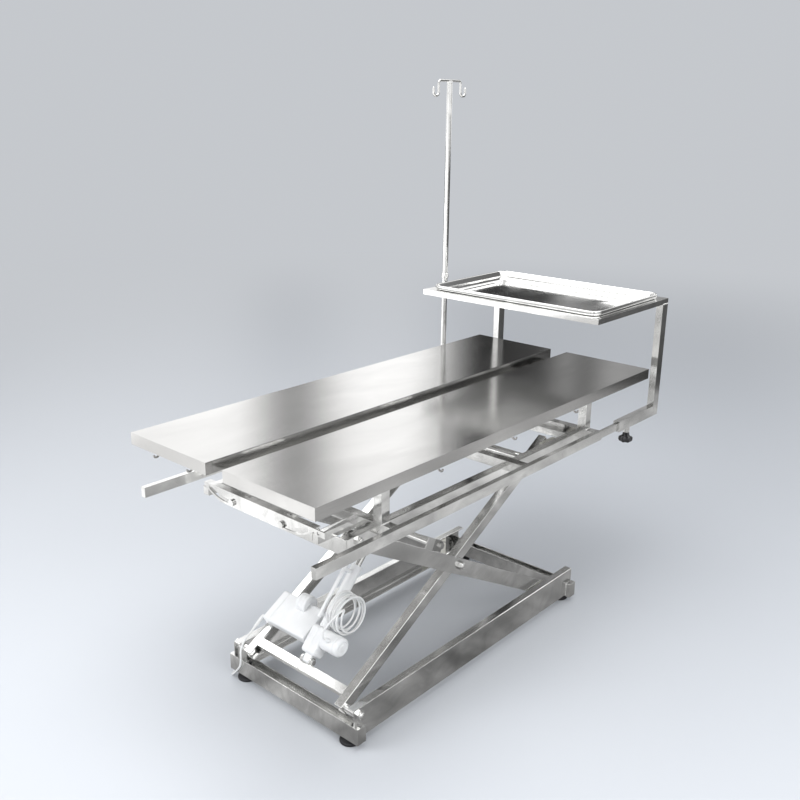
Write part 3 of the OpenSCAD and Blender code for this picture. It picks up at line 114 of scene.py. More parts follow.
class DissectionTableSettings(bpy.types.PropertyGroup):
    """Sizes and colours that a user would change."""

    steel_colour: FloatVectorProperty(
        name="Tabletop steel", description="Colour of the brushed panels", subtype="COLOR", size=3,
        min=0, max=1, default=(0.67, 0.665, 0.655))
    frame_colour: FloatVectorProperty(
        name="Frame steel", description="Colour of the polished tubes and channels", subtype="COLOR",
        size=3, min=0, max=1, default=(0.90, 0.90, 0.89))
    bright_colour: FloatVectorProperty(
        name="Bright steel", description="Colour of the bolts, nuts and lugs", subtype="COLOR", size=3,
        min=0, max=1, default=(0.86, 0.86, 0.85))
    shell_colour: FloatVectorProperty(
        name="White plastic", description="Colour of the actuator and the control box", subtype="COLOR",
        size=3, min=0, max=1, default=(0.93, 0.935, 0.935))
    cable_colour: FloatVectorProperty(
        name="Cable", description="Colour of the cable sheath", subtype="COLOR", size=3,
        min=0, max=1, default=(0.90, 0.90, 0.89))
    nylon_colour: FloatVectorProperty(
        name="Nylon", description="Colour of the slider blocks", subtype="COLOR", size=3,
        min=0, max=1, default=(0.80, 0.78, 0.71))
    black_colour: FloatVectorProperty(
        name="Black parts", description="Colour of the knobs, feet and struts", subtype="COLOR", size=3,
        min=0, max=1, default=(0.022, 0.022, 0.024))
    floor_colour: FloatVectorProperty(
        name="Floor", description="Colour of the studio floor and backdrop", subtype="COLOR", size=3,
        min=0, max=1, default=(0.56, 0.58, 0.61))
    top_roughness: FloatProperty(
        name="Top roughness", description="Roughness of the brushed panels", min=0, max=1, default=0.10)
    frame_roughness: FloatProperty(
        name="Frame roughness", description="Roughness of the polished tubes", min=0, max=1, default=0.09)
    fold_radius: FloatProperty(
        name="Fold radius", description="Outer radius of a sheet's folded edge", unit="LENGTH",
        min=0.0005, max=0.006, default=0.0032)
    tube_radius: FloatProperty(
        name="Tube corner radius", description="Outer corner radius of the square tubes", unit="LENGTH",
        min=0.0005, max=0.005, default=0.0014)
    turned_edge: FloatProperty(
        name="Turned edge", description="Edge break of the bolts, lugs and pins", unit="LENGTH",
        min=0.0001, max=0.002, default=0.0005)
    cable_diameter: FloatProperty(
        name="Cable diameter", description="Diameter of the mains lead and the motor cable",
        unit="LENGTH", min=0.0035, max=0.006, default=0.005)


def settings():
    """The scene's own table settings."""
    return bpy.context.scene.dissection_table


# Meshes

MATERIALS = {}


def smoothed(mesh):
    """Shades all faces of a mesh smooth."""
    mesh.polygons.foreach_set("use_smooth", np.full(len(mesh.polygons), True))


def finished(name, mesh, body, slot, replaced=(), finish=None):
    """Links a mesh as a piece on its body, in its slot's material or in another finish."""
    piece = bpy.data.objects.new(name, mesh)
    bpy.context.scene.collection.objects.link(piece)
    smoothed(mesh)
    mesh.materials.clear()
    mesh.materials.append(MATERIALS[finish or slot])
    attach(piece, body)
    if replaced:
        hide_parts(*replaced)
    return piece


def body_of_node(node):
    """The body that holds a node."""
    for body, nodes in frame["record"]["behaviour"]["bodies"].items():
        if node in nodes:
            return body
    raise ValueError("no body holds " + node)


def slot_of_node(node):
    """The record's material slot of a node."""
    for part in frame["record"]["subparts"]:
        if part["node"] == node:
            return part["material_slot"]
    raise ValueError("no slot for " + node)


# Rounded edges: corners within MERGE_REACH become one, faces that meet within FLAT_ANGLE become one,
# and edges over SOFT_ANGLE are rounded. Beside a narrow face the radius shrinks to NARROW_SHARE of
# the face's width, down to LEAST_SHARE of itself.
MERGE_REACH = 2e-6
FLAT_ANGLE = radians(0.6)
SOFT_ANGLE = radians(35)
NARROW_SHARE = 0.4
LEAST_SHARE = 0.1
SOFT_SEGMENTS = 2
FLAT_WEIGHT = 80


def softened(node, radius):
    """Replaces a node by a copy of its solid that has whole flat faces and rounded edges."""
    form = bmesh.new()
    form.from_mesh(frame["nodes"][node].data)
    bmesh.ops.remove_doubles(form, verts=form.verts, dist=MERGE_REACH)
    bmesh.ops.dissolve_limit(form, angle_limit=FLAT_ANGLE, verts=form.verts, edges=form.edges)
    share = form.edges.layers.float.new("bevel_weight_edge")
    widths = {}
    for face in form.faces:
        widths[face] = face.calc_area() / max(edge.calc_length() for edge in face.edges)
    for edge in form.edges:
        if len(edge.link_faces) == 2 and edge.calc_face_angle(0) > SOFT_ANGLE:
            room = min(widths[face] for face in edge.link_faces)
            edge[share] = min(1, max(LEAST_SHARE, room / radius * NARROW_SHARE))
    mesh = bpy.data.meshes.new(node + "_form")
    form.to_mesh(mesh)
    form.free()
    if "custom_normal" in mesh.attributes:
        mesh.attributes.remove(mesh.attributes["custom_normal"])
    piece = finished(node + "_form", mesh, body_of_node(node), slot_of_node(node), [node])
    bevel = piece.modifiers.new("Rounded edges", "BEVEL")
    bevel.width = radius
    bevel.segments = SOFT_SEGMENTS
    bevel.limit_method = "WEIGHT"
    bevel.miter_outer = "MITER_ARC"
    weights = piece.modifiers.new("Flat faces stay flat", "WEIGHTED_NORMAL")
    weights.weight = FLAT_WEIGHT


# Points on a corner's quarter turn, round a bar, round a hexagon, round a sleeve and on an eased corner
CORNER_STEPS = 9
ROUND_STEPS = 72
HEX_STEPS = 6
SLEEVE_STEPS = 24
EASE_STEPS = 5
# Least radius of a corner, and the share of a side that an eased corner may take up
LEAST_CORNER = 1e-5
EASE_SHARE = 0.45
# A direction that no cable runs along
OFF_ROUTE = (0.31, 0.17, 0.93)


def rounded_box(half_u, half_v, corner):
    """Outline of a rounded rectangle, drawn in by d: a corner's centre and (corner - d)(cos t, sin t)."""
    t = (np.arange(4)[:, None] * pi / 2 + np.linspace(0, pi / 2, CORNER_STEPS)).ravel()
    side_u = np.repeat([1, -1, -1, 1], CORNER_STEPS)
    side_v = np.repeat([1, 1, -1, -1], CORNER_STEPS)

    def outline(inset):
        radius = np.maximum(corner - inset[:, None], LEAST_CORNER)
        u = side_u * (half_u - inset[:, None] - radius) + radius * np.cos(t)
        v = side_v * (half_v - inset[:, None] - radius) + radius * np.sin(t)
        return np.stack([u, v], -1)
    return outline


def round_bar(radius, depth=0, lobes=0):
    """Outline of a circle, or of a star: r(t) = radius - depth (1 - cos(lobes t)) / 2, drawn in by d."""
    t = np.linspace(0, 2 * pi, ROUND_STEPS, endpoint=False)

    def outline(inset):
        r = radius - depth * (1 - np.cos(lobes * t)) / 2 - inset[:, None]
        return np.stack([r * np.cos(t), r * np.sin(t)], -1)
    return outline


def six_sided(radius):
    """Outline of a hexagon with the given distance to its corners, drawn in by d."""
    t = np.linspace(0, 2 * pi, HEX_STEPS, endpoint=False)

    def outline(inset):
        r = radius - inset[:, None]
        return np.stack([r * np.cos(t), r * np.sin(t)], -1)
    return outline


def eased(profile, radius):
    """Rounds a profile's corners: each becomes (1-t)^2 a + 2t(1-t) b + t^2 c between its two sides."""
    p = np.asarray(profile, float)
    corner, back, on = p[1:-1], p[:-2] - p[1:-1], p[2:] - p[1:-1]
    back_length = np.linalg.norm(back, axis=1, keepdims=True)
    on_length = np.linalg.norm(on, axis=1, keepdims=True)
    reach = np.minimum(radius, EASE_SHARE * np.minimum(back_length, on_length))
    a = (corner + back / back_length * reach)[:, None]
    c = (corner + on / on_length * reach)[:, None]
    t = np.linspace(0, 1, EASE_STEPS)[None, :, None]
    curves = (1 - t) ** 2 * a + 2 * t * (1 - t) * corner[:, None] + t ** 2 * c
    return np.vstack([p[:1], curves.reshape(-1, 2), p[-1:]])


def stack(outline, profile, place, up, side):
    """Rings of an outline: each is drawn in by its inset and lies at its height, and both ends are closed."""
    inset, height = np.asarray(profile, float).T
    flat = outline(inset)
    w = unit(np.asarray(up, float))
    u = unit(np.asarray(side, float) - np.dot(side, w) * w)
    v = np.cross(w, u)
    points = np.asarray(place) + flat[..., :1] * u + flat[..., 1:] * v + height[:, None, None] * w
    return ringed(points)


def sleeve(route, radii):
    """Rings of a changing radius square to a route, closed at both ends."""
    along = np.gradient(route, axis=0)
    along /= np.linalg.norm(along, axis=1, keepdims=True)
    u = np.cross(along, OFF_ROUTE)
    u /= np.linalg.norm(u, axis=1, keepdims=True)
    v = np.cross(along, u)
    t = np.linspace(0, 2 * pi, SLEEVE_STEPS, endpoint=False)[None, :, None]
    radii = np.asarray(radii)[:, None, None]
    return ringed(route[:, None] + radii * (np.cos(t) * u[:, None] + np.sin(t) * v[:, None]))


def ringed(points):
    """Joins rings of points to a closed skin: four-sided faces between the rings, one face at each end."""
    rings, count = points.shape[:2]
    first = np.arange(rings - 1)[:, None] * count + np.arange(count)
    next_one = np.arange(rings - 1)[:, None] * count + (np.arange(count) + 1) % count
    quads = np.stack([first, next_one, next_one + count, first + count], -1).reshape(-1, 4)
    ends = [np.arange(count)[::-1].tolist(), ((rings - 1) * count + np.arange(count)).tolist()]
    return points.reshape(-1, 3), quads.tolist() + ends


SHARP_ANGLE = radians(40)


def joined(name, parts):
    """One mesh of several skins."""
    corners, faces, start = [], [], 0
    for points, skin in parts:
        corners.append(points)
        faces += [[start + index for index in face] for face in skin]
        start += len(points)
    mesh = bpy.data.meshes.new(name)
    mesh.from_pydata(np.vstack(corners), [], faces)
    mesh.update()
    return mesh


def dressed(name, parts, body, slot, replaced=(), finish=None):
    """A finished piece made of skins, whose edges over SHARP_ANGLE stay sharp."""
    piece = finished(name, joined(name, parts), body, slot, replaced, finish)
    piece.data.set_sharp_from_angle(angle=SHARP_ANGLE)


def redressed(name, parts, node, finish=None):
    """A piece made of skins that takes a node's place, on its body and in its slot."""
    dressed(name, parts, body_of_node(node), slot_of_node(node), [node], finish)


# Cables: the routes are the solids' own, in metres

# Length of a curve's steps, points on a stored turn, and roundness of the tube
RING_STEP = 0.006
TURN_POINTS = 36
TUBE_ROUNDNESS = 3

# Mains lead: its gland in the inner arm's directions, the stored turns that lie flat behind the table,
# the plug's face, and the given points on its way down to the turns and on from them
MAINS_GLAND = (0.082, 0.176, 0.031)
COIL_MIDDLE = (-0.330, 0.264)
COIL_OUTER = 0.036
COIL_LAYERS = 4
COIL_TURNS = 3
COIL_CLIMB = 0.0006
COIL_START = -pi / 2
CLIMB_TURNS = 0.5
PLUG_FACE = (COIL_MIDDLE[0] + 0.068, COIL_MIDDLE[1] - COIL_OUTER + 0.002, 0.009)
MAINS_DOWN = [
    (-0.395, 0.183, 0.146), (-0.422, 0.183, 0.128), (-0.450, 0.182, 0.110), (-0.466, 0.179, 0.090),
    (-0.470, 0.176, 0.068), (-0.469, 0.182, 0.044), (-0.470, 0.198, 0.022), (-0.471, 0.211, 0.008),
    (-0.463, 0.221, 0.003), (-0.445, 0.226, 0.0025), (-0.415, 0.229, 0.0025),
    (-0.380, 0.229, 0.0025), (-0.358, 0.228, 0.0025),
]
MAINS_ON = [(-0.306, 0.228, 0.017), (-0.286, 0.229, 0.012)]
# Strain relief of the mains lead: radii at its first rings
RELIEF_RADII = [0.0056, 0.0056, 0.0052, 0.0048, 0.0043, 0.0038, 0.0032, 0.0026]

# Motor cable, in the actuator's directions: its glands in the box and in the motor, the spare loops
# between them, and the given points on its way to the loops and on from them
BOX_GLAND = (0.085, 0.029, -0.022)
MOTOR_GLAND = (0.061, -0.045, 0.0345)
ACTUATOR_TUBE_RADIUS = 0.014
SEAT = 0.0003
HANK_ALONG = 0.138
HANK_RADIUS = 0.044
HANK_WANDER = 0.005
HANK_BEAT = radians(155)
HANK_GAP = 0.002
HANK_TURNS = 6.25
HANK_START = radians(210)
MOTOR_DOWN = [(0.096, 0.010, -0.026), (0.098, -0.004, -0.029)]
MOTOR_ON = [(0.140, -0.064, 0.047), (0.120, -0.060, 0.058), (0.082, -0.048, 0.058), (0.066, -0.045, 0.050)]


def along_spline(points):
    """A Catmull-Rom curve: cubic stretches that pass through each given point in turn."""
    p = np.asarray(points, float)
    ends = np.vstack([2 * p[0] - p[1], p, 2 * p[-1] - p[-2]])
    stretches = []
    for a, b, c, d in zip(ends[:-3], ends[1:-2], ends[2:-1], ends[3:]):
        steps = max(1, round(np.linalg.norm(c - b) / RING_STEP))
        t = (np.arange(steps) / steps)[:, None]
        stretches.append(0.5 * (2 * b + (c - a) * t + (2 * a - 5 * b + 4 * c - d) * t ** 2
                                + (3 * b - a - 3 * c + d) * t ** 3))
    return np.vstack(stretches + [p[-1:]])


def lead(start, start_way, points, end_way, end, reach):
    """A stretch that leaves its start straight and meets its end straight, each for one reach."""
    start, end = np.asarray(start, float), np.asarray(end, float)
    first = start + reach * np.asarray(start_way, float)
    last = end - reach * np.asarray(end_way, float)
    return np.vstack([start[None], along_spline(np.vstack([first, points, last])), end[None]])


def coil(diameter):
    """Turns beside and on each other: the radius runs in and out by layers, and CLIMB_TURNS lift a layer."""
    pitch = diameter + COIL_CLIMB
    u = np.linspace(0, COIL_LAYERS * COIL_TURNS, COIL_LAYERS * COIL_TURNS * TURN_POINTS + 1)
    layer = np.floor(u / COIL_TURNS)
    share = u - layer * COIL_TURNS
    radius = COIL_OUTER - pitch * np.where(layer % 2 == 0, share, COIL_TURNS - share)
    climbs = np.arange(1, COIL_LAYERS)[:, None] * COIL_TURNS
    lift = np.clip((u - climbs) / CLIMB_TURNS + 0.5, 0, 1)
    height = diameter / 2 + pitch * np.sum(lift ** 2 * (3 - 2 * lift), axis=0)
    angle = COIL_START + 2 * pi * u
    x = COIL_MIDDLE[0] + radius * np.cos(angle)
    y = COIL_MIDDLE[1] + radius * np.sin(angle)
    return np.stack([x, y, height], 1)


def hank(diameter):
    """Loops about an axis across the table: each steps sideways, and the radius wanders between loops."""
    u = np.linspace(0, HANK_TURNS, round(HANK_TURNS * TURN_POINTS) + 1)
    angle = HANK_START - 2 * pi * u
    first = -ACTUATOR_TUBE_RADIUS - diameter / 2 - SEAT
    across = first - (diameter + HANK_GAP) * u
    radius = HANK_RADIUS + HANK_WANDER * np.sin(HANK_BEAT * u)
    return np.stack([HANK_ALONG + radius * np.cos(angle), across, radius * np.sin(angle)], 1)


def through(turns, start, start_way, before, after, end_way, end, reach):
    """A route from its start to the first of the stored turns, through them and on to its end."""
    first_way, last_way = unit(turns[1] - turns[0]), unit(turns[-1] - turns[-2])
    into = lead(start, start_way, before, first_way, turns[0] - reach * first_way, reach)
    out = lead(turns[-1] + reach * last_way, last_way, after, end_way, end, reach)
    return np.vstack([into, turns, out])


def mains_route(diameter):
    """From the box's outer gland over the near channel, under it, through the coil and to the plug."""
    gland = on_arm_a(MAINS_GLAND) - TABLE_MIDDLE
    route = through(coil(diameter), gland, SIDEWAYS, MAINS_DOWN, MAINS_ON, AHEAD, PLUG_FACE, diameter)
    return on_table(route)


def motor_route(diameter):
    """From the box to the spare loops beside the actuator, and from the loops to the motor's gland."""
    route = through(hank(diameter), BOX_GLAND, -SIDEWAYS, MOTOR_DOWN, MOTOR_ON, -UP, MOTOR_GLAND, diameter)
    return on_actuator(route)


def cable_mesh(name, route, diameter):
    """A round tube carried along a route, closed at both ends."""
    curve = bpy.data.curves.new(name, "CURVE")
    curve.dimensions = "3D"
    line = curve.splines.new("POLY")
    line.points.add(len(route) - 1)
    line.points.foreach_set("co", np.c_[route, np.ones(len(route))].ravel())
    curve.bevel_depth = diameter / 2
    curve.bevel_resolution = TUBE_ROUNDNESS
    curve.use_fill_caps = True
    holder = bpy.data.objects.new(name, curve)
    bpy.context.scene.collection.objects.link(holder)
    shape = holder.evaluated_get(bpy.context.evaluated_depsgraph_get())
    mesh = bpy.data.meshes.new_from_object(shape)
    bpy.data.objects.remove(holder)
    bpy.data.curves.remove(curve)
    mesh.name = name
    return mesh


# Shader parts

def put(tree, kind, x, y, **values):
    """Adds a node at a place on the sheet, with its settings."""
    made = tree.nodes.new(kind)
    made.location = (x, y)
    for name, value in values.items():
        setattr(made, name, value)
    return made


def fill(node, **numbers):
    """Sets a node's inputs by their labels, in which an underscore stands for a space."""
    for label, number in numbers.items():
        node.inputs[label.replace("_", " ")].default_value = number
    return node


def wire(tree, *links):
    """Links nodes, each link given as a node, its output, the next node and its input."""
    for source, outlet, target, inlet in links:
        tree.links.new(source.outputs[outlet], target.inputs[inlet])


def effect(name, inputs, output):
    """Starts a shared effect with its named number sockets."""
    group = bpy.data.node_groups.new(name, "ShaderNodeTree")
    for label, default in inputs:
        socket = group.interface.new_socket(label, in_out="INPUT", socket_type="NodeSocketFloat")
        socket.default_value = default
    group.interface.new_socket(output, in_out="OUTPUT", socket_type="NodeSocketFloat")
    return group, put(group, "NodeGroupInput", -900, 0), put(group, "NodeGroupOutput", 600, 0)


def sheet_waves():
    """Slow swells of rolled sheet, which bend what it reflects."""
    group, given, result = effect("Sheet waves", [("Scale", 4)], "Height")
    place = put(group, "ShaderNodeTexCoord", -700, 200)
    noise = fill(put(group, "ShaderNodeTexNoise", -400, 100), Detail=1.5)
    wire(group,
         (place, "Object", noise, "Vector"),
         (given, "Scale", noise, "Scale"),
         (noise, "Fac", result, "Height"))
    return group


def handling_marks():
    """Cloudy wiping marks and finger smears, from 0 to 1."""
    group, given, result = effect("Handling marks", [("Scale", 9)], "Marks")
    place = put(group, "ShaderNodeTexCoord", -700, 200)
    stretch = fill(put(group, "ShaderNodeMapping", -520, 200), Scale=(0.6, 1.5, 1))
    noise = fill(put(group, "ShaderNodeTexNoise", -300, 100), Detail=6, Distortion=0.8)
    ramp = fill(put(group, "ShaderNodeMapRange", 0, 100), From_Min=0.35, From_Max=0.75)
    wire(group,
         (place, "Object", stretch, "Vector"),
         (stretch, "Vector", noise, "Vector"),
         (given, "Scale", noise, "Scale"),
         (noise, "Fac", ramp, "Value"),
         (ramp, "Result", result, "Marks"))
    return group


def brushed_grain():
    """Fine lines left by a belt, along one direction: long noise, squeezed across it."""
    group, given, result = effect("Brushed grain", [("Along", 3), ("Across", 900)], "Lines")
    place = put(group, "ShaderNodeTexCoord", -700, 200)
    squeeze = put(group, "ShaderNodeCombineXYZ", -700, -100)
    mapped = put(group, "ShaderNodeMapping", -450, 100)
    noise = fill(put(group, "ShaderNodeTexNoise", -200, 100), Scale=1, Detail=4)
    wire(group,
         (given, "Along", squeeze, "X"),
         (given, "Across", squeeze, "Y"),
         (given, "Across", squeeze, "Z"),
         (place, "Object", mapped, "Vector"),
         (squeeze, "Vector", mapped, "Scale"),
         (mapped, "Vector", noise, "Vector"),
         (noise, "Fac", result, "Lines"))
    return group


def moulded_grain():
    """The fine skin of moulded plastic and rubber."""
    group, given, result = effect("Moulded grain", [("Scale", 900)], "Height")
    place = put(group, "ShaderNodeTexCoord", -700, 200)
    cells = fill(put(group, "ShaderNodeTexNoise", -300, 100), Detail=2)
    wire(group,
         (place, "Object", cells, "Vector"),
         (given, "Scale", cells, "Scale"),
         (cells, "Fac", result, "Height"))
    return group


EFFECTS = {}


def use(tree, name, x, y, **numbers):
    """Places a shared effect in a material, with its own numbers."""
    return fill(put(tree, "ShaderNodeGroup", x, y, node_tree=EFFECTS[name]), **numbers)


def between(tree, source, low, high, x, y):
    """Turns a value from 0 to 1 into one between two numbers."""
    ranged = fill(put(tree, "ShaderNodeMapRange", x, y), To_Min=low, To_Max=high)
    tree.links.new(source, ranged.inputs["Value"])
    return ranged.outputs["Result"]


def shade(tree, source, dark, light, x, y):
    """Blends two colours by a value from 0 to 1."""
    mixed = fill(put(tree, "ShaderNodeMix", x, y, data_type="RGBA"), A=(*dark, 1), B=(*light, 1))
    tree.links.new(source, mixed.inputs["Factor"])
    return mixed.outputs["Result"]


def scaled(colour, factor):
    """A colour made lighter or darker, with no channel over 1."""
    return tuple(min(1, channel * factor) for channel in colour)


def blank(name, **constants):
    """A material with one shader, whose constants are set on the shader itself."""
    made = bpy.data.materials.new(name)
    made.use_nodes = True
    return made, made.node_tree, fill(made.node_tree.nodes["Principled BSDF"], **constants)


def bumped(tree, shader, source, strength, distance, x, y, under=None):
    """Feeds a height to the shader's normal, over another bump if there is one."""
    bump = fill(put(tree, "ShaderNodeBump", x, y), Strength=strength, Distance=distance)
    tree.links.new(source, bump.inputs["Height"])
    if under is not None:
        tree.links.new(under, bump.inputs["Normal"])
    tree.links.new(bump.outputs["Normal"], shader.inputs["Normal"])
    return bump.outputs["Normal"]


# Depths of the bumps, in metres, and how marks change a colour and the roughness
WAVE_DEPTH = 0.004
GRAIN_DEPTH = 0.0002
SKIN_DEPTH = 0.0003
CLEAN_STEEL = 1.03
PLASTIC_TONES = (0.95, 1.02)
PLASTIC_SPREAD = 0.1
PLASTIC_MARKS = 25


def finish_marks(tree, shader, tones, roughness, spread, scale):
    """Lets cloudy marks shift the colour between two tones and raise the roughness by its spread."""
    marks = use(tree, "Handling marks", -900, 300, Scale=scale).outputs["Marks"]
    tree.links.new(shade(tree, marks, *tones, -600, 300), shader.inputs["Base Color"])
    rough = between(tree, marks, roughness, roughness + spread, -600, 100)
    tree.links.new(rough, shader.inputs["Roughness"])


def steel(name, colour, roughness, spread, waves, grain, marks_scale=9, stain=0.93):
    """Stainless steel: grain lines, slow waves and cloudy marks over a plain metal."""
    made, tree, shader = blank(name, Metallic=1.0)
    tones = scaled(colour, CLEAN_STEEL), scaled(colour, stain)
    finish_marks(tree, shader, tones, roughness, spread, marks_scale)
    lines = use(tree, "Brushed grain", -900, 0)
    swell = use(tree, "Sheet waves", -900, -300)
    slow = bumped(tree, shader, swell.outputs["Height"], waves, WAVE_DEPTH, -600, -300)
    bumped(tree, shader, lines.outputs["Lines"], grain, GRAIN_DEPTH, -350, -200, slow)
    return made


def plastic(name, colour, roughness, coat, scale, depth):
    """Moulded plastic: a fine skin, a thin coat and slight clouding."""
    made, tree, shader = blank(name, Coat_Weight=coat, Coat_Roughness=0.12, Specular_IOR_Level=0.5)
    tones = [scaled(colour, tone) for tone in PLASTIC_TONES]
    finish_marks(tree, shader, tones, roughness, PLASTIC_SPREAD, PLASTIC_MARKS)
    skin = use(tree, "Moulded grain", -900, 0, Scale=scale)
    bumped(tree, shader, skin.outputs["Height"], depth, SKIN_DEPTH, -600, -200)
    return made


# Plastics, rubber and enamel: slot, name, setting of the colour, roughness, coat, and the scale and
# strength of the skin
PLASTICS = [
    ("white_shell", "White shell", "shell_colour", 0.28, 0.35, 900, 0.1),
    ("white_cable", "White sheath", "cable_colour", 0.4, 0.1, 1500, 0.15),
    ("nylon", "Natural nylon", "nylon_colour", 0.5, 0.0, 700, 0.3),
    ("black_rubber", "Black rubber", "black_colour", 0.62, 0.0, 1400, 0.5),
    ("black_plastic", "Black plastic", "black_colour", 0.3, 0.2, 900, 0.2),
    ("black_paint", "Black enamel", "black_colour", 0.22, 0.5, 300, 0.1),
]


class DissectionTable_OT_materials(bpy.types.Operator):
    """Make the shared effects and the table's finishes"""

    bl_idname = "dissection_table.materials"
    bl_label = "Finishes"

    def execute(self, context):
        values = settings()
        EFFECTS.update({
            "Sheet waves": sheet_waves(), "Handling marks": handling_marks(),
            "Brushed grain": brushed_grain(), "Moulded grain": moulded_grain(),
        })
        MATERIALS.update({
            "brushed_steel": steel("Brushed top", values.steel_colour, values.top_roughness,
                                   spread=0.06, waves=0.02, grain=0.3, marks_scale=5),
            "polished_steel": steel("Polished frame", values.frame_colour, values.frame_roughness,
                                    spread=0.14, waves=0.3, grain=0.12, marks_scale=14, stain=0.72),
            "tray_steel": steel("Pressed tray", values.bright_colour, 0.07,
                                spread=0.08, waves=0.08, grain=0.05),
            "bright_steel": steel("Bright fasteners", values.bright_colour, 0.16,
                                  spread=0.15, waves=0.05, grain=0.1, marks_scale=30),
        })
        for slot, name, colour, roughness, coat, scale, depth in PLASTICS:
            MATERIALS[slot] = plastic(name, getattr(values, colour), roughness, coat, scale, depth)
        for node, solid in frame["nodes"].items():
            solid.data.materials.clear()
            solid.data.materials.append(MATERIALS[slot_of_node(node)])
        return {"FINISHED"}


# Stage

# The camera as solved from the photograph: the focal length is 916.49 pixels on a picture 800 wide
CAMERA_PLACE = (-1.7007, -1.4334, 1.3860)
SENSOR_WIDTH = 36
CAMERA_FOCAL = 916.49 / 800 * SENSOR_WIDTH
CAMERA_PITCH = radians(17.68)
CAMERA_ROLL = radians(0.63)
CAMERA_YAW = radians(41.46)
CAMERA_FAR = 200


def make_camera():
    """Looks along yaw and down by pitch, then turns about its own line of sight by roll."""
    towards = np.array([cos(CAMERA_YAW), sin(CAMERA_YAW), 0])
    ahead = cos(CAMERA_PITCH) * towards - sin(CAMERA_PITCH) * UP
    level = np.array([sin(CAMERA_YAW), -cos(CAMERA_YAW), 0])
    above = np.cross(level, ahead)
    data = bpy.data.cameras.new("Camera")
    data.lens = CAMERA_FOCAL
    data.sensor_width = SENSOR_WIDTH
    data.clip_end = CAMERA_FAR
    camera = bpy.data.objects.new("Camera", data)
    turn = np.identity(4)
    turn[:3, 0] = level * cos(CAMERA_ROLL) + above * sin(CAMERA_ROLL)
    turn[:3, 1] = -level * sin(CAMERA_ROLL) + above * cos(CAMERA_ROLL)
    turn[:3, 2] = -ahead
    turn[:3, 3] = on_table(CAMERA_PLACE)
    camera.matrix_world = Matrix(turn.tolist())
    bpy.context.scene.collection.objects.link(camera)
    bpy.context.scene.camera = camera


def set_stops(ramp, stops):
    """Sets a grey ramp from pairs of place and brightness; places in degrees run over a full turn."""
    full_turn = min(place for place, _ in stops) < 0
    ramp.elements.remove(ramp.elements[1])
    for index, (place, value) in enumerate(stops):
        share = (place + 180) / 360 if full_turn else place
        element = ramp.elements[0] if index == 0 else ramp.elements.new(share)
        element.position = share
        element.color = (value, value, value, 1)


# Brightness of the floor as the metal shows it, a painted reflection: the floor glows with it for glossy rays
# only. It goes by distance from the table's middle, as a share of
# MIRROR_REACH in metres and half as fast along X, dark near the table as painted shade; by heading, where
# MIRROR_LIFT is added towards the table's near left side, from the cosine MIRROR_EDGE on; and by cloudy patches
MIRROR_REACH = 5.0
MIRROR_SQUEEZE = (0.5, 1, 0)
MIRROR_STOPS = [
    (0.04, 0.22), (0.10, 0.32), (0.16, 0.34), (0.20, 0.70), (0.24, 0.64), (0.30, 0.52), (0.38, 0.50),
    (0.55, 1.0), (1.0, 1.15),
]
MIRROR_LIFT = 1.1
MIRROR_HEADING = radians(139)
MIRROR_EDGE = 0.3
CLOUD_SCALE = 5
CLOUD_DETAIL = 4
CLOUD_RANGE = (0.3, 0.7)
CLOUD_DEPTHS = (0.4, 1.45)
# Towards each of these headings the floor, in its painted reflection, turns dark between two distances, in metres,
# down to
# DARK_LEFT of its brightness
DARK_PARTS = [(radians(-32), 2.55, 2.95), (radians(36), 2.9, 3.5)]
DARK_LEFT = 0.12


def along_heading(tree, place, heading, y):
    """How far a place lies along a heading: the dot product of the two."""
    ahead = put(tree, "ShaderNodeVectorMath", -1100, y, operation="DOT_PRODUCT")
    ahead.inputs[1].default_value = (cos(heading), sin(heading), 0)
    tree.links.new(place, ahead.inputs[0])
    return ahead


